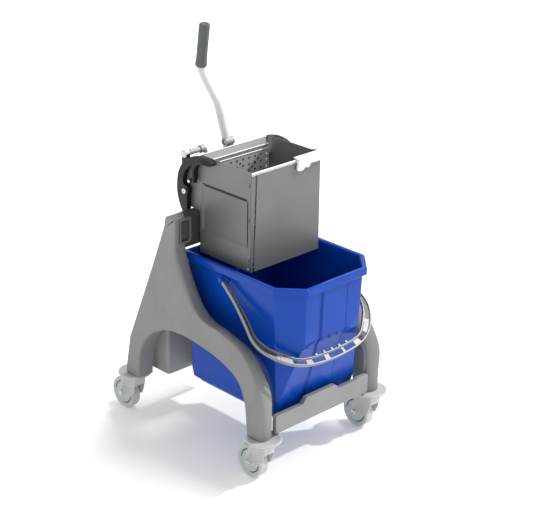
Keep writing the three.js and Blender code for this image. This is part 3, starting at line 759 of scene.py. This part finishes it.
def bucket_ring(z, side, chamfer, nose, front, dip, rear, groove, inset=0.0, proud=0.0):
    """One level of the bucket: corners rounded, with the grooves of the front face."""
    corner = inset * math.tan(math.pi / 8)
    side -= inset
    chamfer += corner
    nose -= corner
    front += inset
    rear -= inset
    middle = front + dip
    back = rounded([(side, 0), (side, rear), (-side, rear), (-side, 0)], [0, 7, 7, 0], 6)
    loop = back[1:-1]
    bend = rounded([(-side, 0), (-side, chamfer), (-nose, front), (-50, middle)], [0, 6, 5, 0], 4)
    loop += bend[1:-1]
    for x, depth in ((-70, None), *GROOVES[:4], (-20, 0), (6, 0), (30, 0), *GROOVES[4:],
                     (70, None)):
        if depth is None:
            share = (abs(x) - 50) / (nose - 50)
            loop.append((x, middle + (front - middle) * share))
        else:
            forward = proud if -36 < x < 42 else 0
            loop.append((x, middle + depth * groove - forward))
    bend = rounded([(50, middle), (nose, front), (side, chamfer), (side, 0)], [0, 5, 6, 0], 4)
    loop += bend[1:-1]
    return [(x, y, z) for x, y in loop]


# z, inset and how far the front stands proud: down behind the rim, round it and back inside
RIM_RINGS = ((464.5, 4, 0), (463.5, 3, 0), (453.5, 2.6, 0), (452.3, 2, 0), (452.3, 0.8, 0.5),
             (453.4, 0, 0.5), (466.4, 0, 0.5), (468.6, 0.7, 0.5), (469.8, 2.6, 0), (469.8, 7, 0),
             (468.8, 10.6, 0))
PIVOT = (-57, 441)


def build_bucket():
    """Bucket wall up the outside, round the rim and down the inside, with the bail's bosses."""
    floor, top = BUCKET[0][1:], BUCKET[-1][1:-1]
    levels = []
    for low, high in zip(BUCKET, BUCKET[1:]):
        parts = max(1, round((high[0] - low[0]) / 30))
        for k in range(1, parts + 1):
            levels.append(tuple(a + (b - a) * k / parts for a, b in zip(low, high)))
    rings = [bucket_ring(z, *floor, inset=inset) for z, inset in ((140, 4), (141.2, 1.2), (144, 0))]
    rings += [bucket_ring(*level) for level in levels]
    rings += [bucket_ring(z, *BUCKET_RIM, inset, proud) for z, inset, proud in RIM_RINGS]
    rings.append(bucket_ring(465.5, *top, 0, inset=2.6))
    rings += [bucket_ring(*level, inset=3.2) for level in reversed(levels[1:])]
    rings += [bucket_ring(z, *floor, inset=inset) for z, inset in ((150, 2.6), (145, 5), (143, 9))]
    finish_piece(skin("bucket", rings), "bucket", "trolley", "bucket", angle=25)
    boss = [(4.2, 132), (13, 132), (11.5, 140), (10.2, 143.5), (9.6, 144.9), (4.2, 144.9)]
    turned_pair("bail_boss", boss, PIVOT, "bucket", "trolley", sides=40)
    rivet = [(0.2, 138), (3.6, 138), (3.6, 152.3), (6.8, 152.3), (6.8, 154), (5.4, 154.9),
             (0.2, 155)]
    turned_pair("bail_pivot", rivet, PIVOT, "bucket", "trolley", "bail_pivot")


# ---------------- bail handle
BAIL_DROP = math.radians(36)
# outer and inner edge of half the bow as (x, distance from the pivots) pairs side by side
BAIL = [(152, 0, 145.8, 0), (152, 15, 145.8, 15), (157, 66, 147, 62), (169, 125, 155, 120),
        (177, 158, 163, 154), (175, 186, 159, 176), (163, 210, 148, 196), (142, 235, 127, 218.5),
        (112, 256, 100, 241), (78, 268, 70, 249.5), (28, 274, 28, 253)]
# x and half length of the openings in the front run, and x of the short teeth behind them
WEB_HOLES = ((-99, 17), (-48, 18), (2, 21), (52, 18), (101, 15))
TEETH = (-48, -24, 0, 24, 48)


def bail_point(x, reach, lift):
    """A point of the drooping bow, from its distance to the pivots and its height off its plane."""
    c, s = math.cos(BAIL_DROP), math.sin(BAIL_DROP)
    return (x, PIVOT[0] - reach * c - lift * s, PIVOT[1] - reach * s + lift * c)


def bail_between(station, share):
    """The point a share of the way from the bow's outer edge to its inner one."""
    xo, ro, xi, ri = station
    return xo + (xi - xo) * share, ro + (ri - ro) * share


def bail_width(station):
    return math.dist(station[:2], station[2:])


def bail_section(wide):
    """Flanged section of the bow as (distance from its outer edge, height) points."""
    outer = min(3.4, 0.3 * wide)
    inner = wide - min(2.8, 0.26 * wide)
    top = [(0, 3.9), (0.6, 4.4), (outer - 0.5, 4.4), (outer, 3.8), (outer + 0.5, 1.4),
           (inner - 0.5, 1.4), (inner, 3.4), (inner + 0.5, 3.9), (wide - 0.5, 3.9), (wide, 3.4)]
    return top + [(s, -h) for s, h in reversed(top)]


def bail_prism(loop, low, high):
    return skin("tool", [[bail_point(x, r, low) for x, r in loop],
                         [bail_point(x, r, high) for x, r in loop]])


def bail_shade_strip(name, spans, low, high):
    """A thin strip of painted shade in the bow's hollow: each span gives its two edges."""
    rings = [[bail_point(*a, low), bail_point(*b, low), bail_point(*b, high), bail_point(*a, high)]
             for a, b in spans]
    finish_piece(skin(name, rings), "web", "bail")


def build_bail_shade_strips(stations):
    """Strips of painted shade in the hollows along both arms, and in the channel beside the openings
    of the front run.
    """
    for hand, side in HANDS:
        spans = [(bail_between(s, 0.26), bail_between(s, 0.72)) for s in stations
                 if side * s[0] >= 0 and 24 < (s[1] + s[3]) / 2 < 222]
        bail_shade_strip(f"bail_web_{hand}", spans, 1.2, 1.9)
    spans = [(bail_between(s, 1 - 5 / bail_width(s)), bail_between(s, 1 - 2.9 / bail_width(s)))
             for s in stations if (s[1] + s[3]) / 2 >= 226]
    bail_shade_strip("bail_channel_shade", spans, 1.0, 2.2)


def web_hole(middles, x, half):
    """A rounded opening along the bow's middle line, at the point nearest to x."""
    i = min(range(1, len(middles) - 1), key=lambda k: abs(middles[k][0] - x))
    before, after = middles[i - 1], middles[i + 1]
    length = math.dist(before, after)
    tx, tr = (after[0] - before[0]) / length, (after[1] - before[1]) / length
    mx, mr = middles[i]
    corners = [(mx + tx * a - tr * b, mr + tr * a + tx * b)
               for a, b in ((-half, -6.6), (half, -6.6), (half, 6.6), (-half, 6.6))]
    return bail_prism(rounded(corners, 3, 3), -7, 7)


def build_bail():
    """Bow with flanges, openings and teeth, and its eyes on the pivots."""
    stations = smooth_line(BAIL + [(-a, b, -c, d) for a, b, c, d in reversed(BAIL)], 9)
    rings = []
    for station in stations:
        wide = bail_width(station)
        rings.append([bail_point(*bail_between(station, s / wide), h)
                      for s, h in bail_section(wide)])
    bow = skin("bail_handle", rings)
    middles = [bail_between(station, 0.5) for station in stations]
    bow = cut(bow, *[web_hole(middles, x, half) for x, half in WEB_HOLES])
    for x in TEETH:
        tip = 248 - abs(x) * 0.02
        bow = join(bow, bail_prism([(x - 4, 255), (x + 4, 255), (x + 2, tip), (x - 2, tip)],
                                   -2.6, 3.2))
    bow = cut(bow, rod("hub_space", 8.2, -160, 160, PIVOT, sides=40))
    finish_piece(bow, "bail", "bail", "bail_handle", angle=35)
    eye = [(4, 146), (7.4, 146), (8, 146.6), (8, 151.2), (7.4, 151.9), (4, 151.9)]
    turned_pair("bail_eye", eye, PIVOT, "bucket", "bail", sides=40)
    build_bail_shade_strips(stations)


# ---------------- wringer box
# x of the side panels' outer and inner faces, then the box's limits and the places of its pins
WALL = 106.3
WALL_IN = 104.4
BOX_FRONT = -108.4
BOX_BACK = 61
BOX_LOW = 461.3
BOX_TOP = 695.6
BOLT = (96.5, 603)
FOLLOWER = (82, 630)
SHAFT = (98, 691)
TRAVEL = 15
ROD_PLACE = (-100, 467)


FIELD = (-100, 57, 515, 632)
FIELD_SLOPE = 9
FIELD_SINK = 4.2
EAR_LEFT = [(104, 562.8), (114, 576), (119, 595), (121, 615), (119, 636), (112, 651), (101, 662),
            (86, 670), (72, 675), (BOX_BACK, 677)]
EAR_RIGHT = [(104, 562.8), (114, 576), (119, 595), (117, 615), (104, 638), (84, 646),
             (BOX_BACK, 652)]


def pressed_field():
    """Rings of a shallow rectangular pressing in the wall, from its rim to its floor."""
    low_y, high_y, low_z, high_z = FIELD
    rings = []
    for t in (0, 0.2, 0.5, 0.8, 1):
        inset = FIELD_SLOPE * t
        corners = [(low_y + inset, low_z + inset), (high_y - inset, low_z + inset),
                   (high_y - inset, high_z - inset), (low_y + inset, high_z - inset)]
        rings.append((FIELD_SINK * ease(t), rounded(corners, 6 - 2 * t, 5)))
    return rings


def wringer_wall(ear, name):
    """Side panel: sheet with a pressed field, a rear ear, the pin slot and the bores."""
    shape = rounded([(BOX_FRONT + 0.1, BOX_LOW), (BOX_BACK, BOX_LOW), (BOX_BACK, 562.8), *ear,
                     (BOX_BACK, BOX_TOP), (BOX_FRONT + 0.1, BOX_TOP)],
                    [1, 2, 3, 4] + [8] * (len(ear) - 2) + [3, 12, 1])
    field = pressed_field()
    holes = [slot_outline((FOLLOWER[0] - TRAVEL, FOLLOWER[1]), FOLLOWER, 4.6),
             circle(*BOLT, 4.3, 20), circle(*ROD_PLACE, 3.3, 16)]
    points, faces = slab([shape, field[0][1], *holes], -WALL, -WALL_IN, unwalled=field[0][1])
    count = len(points) // 2
    for skip, face_x in ((0, -WALL), (count, -WALL_IN)):
        base = [skip + len(shape) + i for i in range(len(field[0][1]))]
        for sink, loop in field[1:]:
            made = list(range(len(points), len(points) + len(loop)))
            points += [(a, b, face_x + sink) for a, b in loop]
            faces += [(base[i - 1], base[i], made[i], made[i - 1]) for i in range(len(loop))]
            base = made
        faces.append(tuple(base))
    return model(name, [AXES["x"](*p) for p in points], faces)


def field_fold_shade():
    """Thin dark strips of painted shade over the steep upper and front folds of the pressed field.
    """
    front, rear, low, high = FIELD
    nodes = []
    for start, turn in (((rear, high), (-1, -1)), ((front, high), (1, -1)), ((front, low), (1, 1))):
        face = [(FIELD_SINK * ease(t), start[0] + turn[0] * FIELD_SLOPE * t,
                 start[1] + turn[1] * FIELD_SLOPE * t) for t in (0.1, 0.3, 0.5, 0.7, 0.85, 1)]
        nodes.append([(-WALL - 0.15 + x, y, z) for x, y, z in face]
                     + [(-WALL + 0.4 + x, y, z) for x, y, z in reversed(face)])
    return skin("field_fold_left", nodes)


def build_wringer_sides():
    """Side panels with unlike ears, their front flanges and dark strips of painted shade over the
    folds of their fields.
    """
    mould = wringer_wall(EAR_RIGHT, "mould")
    right = flipped(mould, "wringer_side_right")
    discard(mould)
    left = wringer_wall(EAR_LEFT, "wringer_side_left")
    finish_piece(left, "steel", "wringer", "wringer_side_left", angle=24)
    finish_piece(right, "steel", "wringer", "wringer_side_right", angle=24)
    flange = [(-WALL, BOX_LOW), (-99.8, BOX_LOW), (-91.8, BOX_TOP - 8.5), (-91.8, BOX_TOP - 3),
              (-WALL, BOX_TOP - 3)]
    flange = plate("flange_left", [flange], "y", BOX_FRONT - 0.1, BOX_FRONT + 1.8)
    finish_pair(round_edges(flange, 0.5, 2), "steel", "wringer")
    # dark strips of painted shade over the fields' folds
    finish_pair(field_fold_shade(), "fold_shade", "wringer", angle=60)
    # black marks of painted shade standing in for slots near the side panel's front edge
    for index, z in enumerate((665, 584, 489)):
        slot = block(f"edge_slot_{index}", -106.6, -106.1, -104.5, -102.5, z - 5, z + 5)
        finish_piece(round_edges(slot, 0.1, 1), "black", "wringer")


def build_wringer_sheets():
    """Front panel with its folded hem in light steel as a painted highlight, low back panel in dark
    steel as painted shade, and drain floor.
    """
    front = plate("wringer_front", [[(-98.2, 462.4), (104.8, 462.4), (104.8, BOX_TOP - 7),
                                     (-90.4, BOX_TOP - 7)]], "y", -110.7, -108.8)
    finish_piece(round_edges(front, 0.5, 2), "steel", "wringer", "wringer_front")
    hem = [(-108.8, 695.5)]
    for k in range(9):
        turn = math.radians(90 + 180 * k / 8)
        hem.append((-108.9 + 2.9 * math.cos(turn), 692.6 + 2.9 * math.sin(turn)))
    hem += [(-110.5, 689.7), (-110.5, 688.2), (-108.8, 688.2)]
    # the hem takes the light edge steel as a painted highlight
    finish_piece(round_edges(plate("front_hem", [hem], "x", -105.9, 105.9), 0.3, 1, 60),
                 "edge", "wringer", angle=40)
    back = rounded([(-104, 462.5), (104, 462.5), (104, 605.8), (93, 605.8), (93, 665.8),
                    (-93, 665.8), (-93, 605.8), (-104, 605.8)], [1, 1, 8, 2, 6, 6, 2, 8])
    back = plate("wringer_back", [back], "y", 59.1, 60.9)
    # the back panel is painted dark as shade behind the press plate's holes
    finish_piece(round_edges(back, 0.5, 2), "painted_shade_back", "wringer", "wringer_back")
    sheet = [[(-103.9, -93.8), (103.9, -93.8), (103.9, 58.6), (-103.9, 58.6)]]
    for row in range(6):
        for column in range(-4, 5):
            sheet.append(circle(column * 22 + (row % 2) * 5.5 - 2.7, -80 + row * 23, 4, 12))
    finish_piece(plate("wringer_floor", sheet, "z", 474.1, 475.9), "steel", "wringer",
                 "wringer_floor")


def build_wringer_fixings():
    """Cross rod, the two hooks over the beam and the lever's bolts."""
    bar = rod("wringer_rod", 3, -109.6, 109.6, ROD_PLACE, sides=24)
    for _, side in HANDS:
        head = rod("head", 4.4, *sided(side, 106.6, 109.8), ROD_PLACE, sides=24, edge=1)
        bar = join(bar, head)
    finish_piece(bar, "bright", "wringer", "wringer_rod")
    hook = rounded([(61.3, 540.2), (64.6, 540.2), (64.6, 562.4), (84.9, 562.4), (84.9, 528.2),
                    (87.4, 528.2), (87.4, 565.2), (64.6, 565.2), (64.6, 601.8), (61.3, 601.8)],
                   [0, 0, 0, 0.4, 0, 1, 2.6, 0, 0, 0], 3)
    hook = round_edges(plate("wringer_hook_left", [hook], "x", -77.8, -42.2), 0.4, 2)
    finish_pair(hook, "steel", "wringer", "wringer_hook")
    bolt = [(0.2, 98.4), (6.6, 98.4), (7, 98.8), (7, 103.8), (3.9, 103.9), (3.9, 121.4),
            (6.2, 121.4), (6.6, 122.2), (6, 124), (4.2, 124.6), (2.4, 124.4), (2, 122.4),
            (0.2, 122.4)]
    turned_pair("pivot_bolt", bolt, BOLT, "bright", "wringer", "pivot_bolt")


def build_clip():
    """White clip round the front right corner of the hem."""
    face = -112.6
    lobes = rounded([(27, 683), (27, 671), (38, 668.5), (47, 671), (49, 677), (52, 674),
                     (62, 673), (66.8, 678), (66.8, 683)], [0, 4, 5, 5, 2, 3, 4, 3, 0])
    front = plate("clip_front", [lobes], "y", face - 4.6, face)
    band = rounded([(28.2, 682), (118.8, 682), (118.8, 698), (110, 698.6), (40, 698.6),
                    (28.2, 694)], [3, 4, 4, 3, 6, 3])
    body = join(plate("hem_clip", [band], "y", face - 6.8, face), front)
    cap = rounded([(28.4, face - 6.6), (118.8, face - 6.6), (118.8, -100.6), (28.4, -100.6)],
                  [3, 5, 3, 3])
    body = join(body, plate("cap", [cap], "z", 696, 698.9))
    side = rounded([(face - 6.6, 682.2), (-82.4, 682.2), (-82.4, 698.8), (face - 6.6, 698.8)],
                   [3, 5, 5, 3])
    body = join(body, plate("side", [side], "x", 106.8, 118.8))
    finish_piece(round_edges(body, 0.9, 2, 40), "white", "wringer", "hem_clip")


# ---------------- press plate
def build_press():
    """Perforated plate, its folded top rail with beads of light steel as painted highlights along
    its folds, its lugs and the two pins.
    """
    sheet = [rounded([(-99.8, 484.2), (99.8, 484.2), (99.8, 670), (-99.8, 670)], [3, 3, 0, 0], 3)]
    for row in range(11):
        for column in range(-5, 6):
            x, z = column * 18.7 - 1.5, 657 - row * 15.5
            if abs(x) < 94:
                sheet.append(circle(x, z, 3.2, 12))
            if (column + row) % 3 == 0 and abs(x + 9) < 90:
                sheet.append(circle(x + 9.3, z - 7.7, 3.2, 12))
    finish_piece(plate("press_plate", sheet, "y", 50.1, 51.9), "press", "press", "press_plate")
    rail = rounded([(50.2, 668.4), (50.2, 677.5), (57.5, 693.5), (58.5, 695.4), (60.8, 695.4),
                    (60.8, 691), (59.6, 691), (53, 676.5), (53, 668.4)],
                   [0.6, 2, 2, 1, 0.8, 0.8, 1, 1, 0.6], 3)
    rail = round_edges(plate("press_rail", [rail], "x", -97, 94), 0.3, 1, 60)
    finish_piece(rail, "rail", "press")
    # beads of light edge steel: painted highlights along the rail's folds
    for index, (place, radius) in enumerate((((50.6, 668.6), 1.9), ((51.2, 678.4), 1.9),
                                             ((58.6, 693.9), 1.7))):
        bead = rod(f"rail_bead_{index}", radius, -99.6, 98.4, place, sides=16)
        finish_piece(bead, "edge", "press")
    lug = rounded([(51, 612.4), (81, 621.2), (89.6, 630), (81, 638.8), (51, 659.6)],
                  [0, 8, 6, 8, 0])
    ear = plate("press_lug_left", [lug, circle(*FOLLOWER, 4.3, 20)], "x", -100.1, -98.4)
    foot = block("foot", -100.1, -97.4, 50.2, 51.9, 612.6, 659.6)
    finish_pair(join(ear, foot), "press", "press")
    pin = [(0.2, 96.2), (5.6, 96.2), (6.4, 97), (6.4, 100.6), (3.9, 100.7), (3.9, 121.2),
           (3.2, 121.9), (0.2, 121.9)]
    turned_pair("press_pin", pin, FOLLOWER, "bright", "press", "press_pin", sides=24)


# ---------------- lever
CROSSBAR_Z = 660  # height of the shaft's low run
SHAFT_BEND = -54  # x where the shaft drops to it


def cam_arm():
    """Hooked arm: its back bows round the bolt, a thin prong hangs in front of the press pin."""
    outer = smooth_line([(3, 690.5), (19, 694.5), (40, 696.3), (55, 694.3), (70, 690.8),
                         (80, 686.8), (91, 680), (102, 669), (112, 656), (120, 637), (122.8, 615),
                         (122.8, 598), (119, 580), (112, 563), (98, 541.5)], 6)
    front = smooth_line([(88, 546.5), (88.4, 570), (88.2, 592), (84.5, 606), (87, 615)], 5)
    crescent = smooth_line([(101, 620), (101.8, 632), (96, 648), (84, 662), (70, 671)], 5)
    prong = smooth_line([(71, 662), (72.2, 650), (72.6, 640), (71, 630)], 5)
    prong += smooth_line([(65.5, 629), (64.8, 640), (64.4, 657), (60, 668), (50, 677)], 5)
    tip = [(34, 680.7), (14, 680.3), (6, 684)]
    loop = outer + front + crescent + prong + tip
    arm = plate("cam_arm_left", [loop, circle(*BOLT, 4.3, 24)], "x", -120.8, -108.2)
    return round_edges(arm, 1.0, 2, 50)


def build_arms():
    """Both arms with their pads and the press rollers, and the left arm's neck and eye."""
    finish_pair(cam_arm(), "black", "lever", "cam_arm", angle=40)
    pad = rounded([(42, 691), (19, 692.5), (6, 689), (10, 683.5), (17, 682), (42, 682)], 2.5, 3)
    pad = plate("arm_pad_left", [pad], "x", -121.2, -120.6)
    finish_pair(round_edges(pad, 0.2, 1), "jet", "lever", angle=40)
    roller = [(4.3, -118.6), (4.6, -118.6), (4.9, -118), (4.9, -112), (4.3, -111.6)]
    roller = turned("press_roller_left", roller, FOLLOWER)
    finish_pair(roller, "jet", "press", angle=40)
    neck = plate("arm_neck", [[(88.4, 677), (88.4, 691), (106.6, 691), (106.6, 660)]], "x",
                 -119.4, -109)
    finish_piece(round_edges(neck, 0.8, 2), "black", "lever")
    eye = turned("shaft_eye", [(5.3, -122.6), (8.2, -122.6), (9.2, -121.4), (9.2, -108.8),
                               (5.3, -108.4)], SHAFT, 36)
    finish_piece(eye, "tube", "lever")


def build_shaft():
    """Bent shaft from the left arm's eye, down behind the box and on to the right arm."""
    y, top, low = *SHAFT, CROSSBAR_Z
    bend = [(-122.8, top), (-105, top), (SHAFT_BEND - 9, top)]
    bend += smooth_line([(SHAFT_BEND - 8, top), (SHAFT_BEND - 2, top - 2), (SHAFT_BEND, top - 8)],
                        2)
    bend += smooth_line([(SHAFT_BEND, low + 8), (SHAFT_BEND + 2, low + 2), (SHAFT_BEND + 8, low)],
                        2)
    bend += [(0, low), (122.8, low)]
    shaft = swept("lever_shaft", bend, 4.9, lambda a, b, out: (a, y + out, b), 28)
    finish_piece(shaft, "shaft", "lever", "lever_shaft", angle=50)
    for name, ends, z in (("upper", (-107.6, -105.2), top), ("lower", (105.2, 107.6), low)):
        finish_piece(rod(f"shaft_washer_{name}", 6.3, *ends, (y, z), sides=28), "bright", "lever")
    collar = [(5.3, -60.2), (8.6, -60.2), (9.4, -61), (9.4, -73), (8.6, -73.9), (7.6, -73.9),
              (7.2, -72), (5.3, -72)]
    collar = turned("shaft_collar", collar, SHAFT, 40)
    finish_piece(collar, "bolt", "lever", "shaft_collar")
    for name, profile, look in (
            ("collar_shade", [(5.2, -73.2), (7.3, -73.2), (7.3, -71.8), (5.2, -71.8)], "black"),
            ("shaft_sleeve", [(5.1, -104), (6.8, -104), (6.8, -75), (5.1, -75)], "bolt")):
        finish_piece(turned(name, profile, SHAFT), look, "lever")


HANDLE_X = 10
HANDLE = [(98.5, 692), (111, 725), (125, 764), (133, 780), (146, 795.5), (165, 817.5),
          (177.5, 833), (184, 843), (186.2, 851), (184.9, 860), (177, 917)]
GRIP_LOW = (186, 851)
GRIP_TOP = (172, 953)


def build_handle():
    """Handle tube coped over its boss, and the boss with a web and a clamp on the low shaft."""
    tube = swept("lever_tube", smooth_line(HANDLE, 6), 9.6, lambda a, b, out: (HANDLE_X + out, a, b),
                 36)
    tube = cut(tube, rod("cope", 10.2, HANDLE_X - 15, HANDLE_X + 15, SHAFT, sides=48))
    finish_piece(tube, "tube", "lever", "lever_tube")
    low_run = (SHAFT[0], CROSSBAR_Z)
    boss = turned("lever_socket", [(0.2, 3.4), (6.6, 3.4), (6.9, 1.4), (8.8, 1.2), (9.8, 2.2),
                                   (9.8, 26.8), (8.8, 27.8), (0.2, 27.8)], SHAFT, 48)
    web = block("web", 4, 25, SHAFT[0] - 6, SHAFT[0] + 6, CROSSBAR_Z, SHAFT[1])
    clamp = rod("clamp", 8.9, 3.2, 25.8, low_run, sides=32)
    boss = cut(join(boss, web, clamp), rod("bore", 5.2, 0, 30, low_run, sides=32))
    finish_piece(boss, "bolt", "lever", "lever_socket")
    face = [(4.4, 2.9), (6.5, 2.9), (6.5, 3.6), (4.4, 3.6)]
    finish_piece(turned("boss_shade", face, SHAFT), "shade", "lever")


def build_grip():
    """Grip with a collar at each end and nine shallow flutes between them."""
    low, top = Vector(GRIP_LOW), Vector(GRIP_TOP)
    reach = (top - low).length
    axis = (top - low).normalized()
    profile = [(0, 10.2), (0, 12.4), (1.2, 13.2), (4, 13.9), (9, 13.8), (13, 13.2), (16, 12.9),
               (60, 12.8), (92, 13), (98, 13), (100.5, 12.6), (102, 11.6), (reach, 10.4),
               (reach - 1.6, 8.6), (reach - 1.6, 2)]
    rings = []
    for height, radius in profile:
        centre = low + axis * height
        fluted = 0.6 if 14 < height < 99 else 0.0
        ring = []
        for k in range(72):
            angle = 2 * math.pi * k / 72
            r = radius - fluted * (0.5 + 0.5 * math.cos(9 * angle))
            u, v = r * math.cos(angle), r * math.sin(angle)
            ring.append((HANDLE_X + u, centre[0] - axis[1] * v, centre[1] + axis[0] * v))
        rings.append(ring)
    finish_piece(skin("lever_grip", rings), "grip", "lever", "lever_grip", angle=45)


# ---------------- stage
FLOOR_HALF = 30


def build_stage():
    """A pale floor, sixty metres across."""
    mesh = bpy.data.meshes.new("floor")
    corners = [(x * FLOOR_HALF, y * FLOOR_HALF, 0) for x, y in ((-1, -1), (1, -1), (1, 1), (-1, 1))]
    mesh.from_pydata(corners, [], [(0, 1, 2, 3)])
    paint = Surface("floor", Roughness=0.9, Base_Color=(0.92, 0.92, 0.92, 1),
                    Emission_Color=(1, 1, 1, 1), Emission_Strength=0.12)
    mesh.materials.append(paint.material)
    add("floor", mesh)


set_camera()
set_light()
build_stage()
build_side_frames()
build_tower_sockets()
build_front_bar()
build_beam()
build_rear_box()
build_casters()
build_bucket()
build_bail()
build_wringer_sides()
build_wringer_sheets()
build_wringer_fixings()
build_clip()
build_press()
build_arms()
build_shaft()
build_handle()
build_grip()
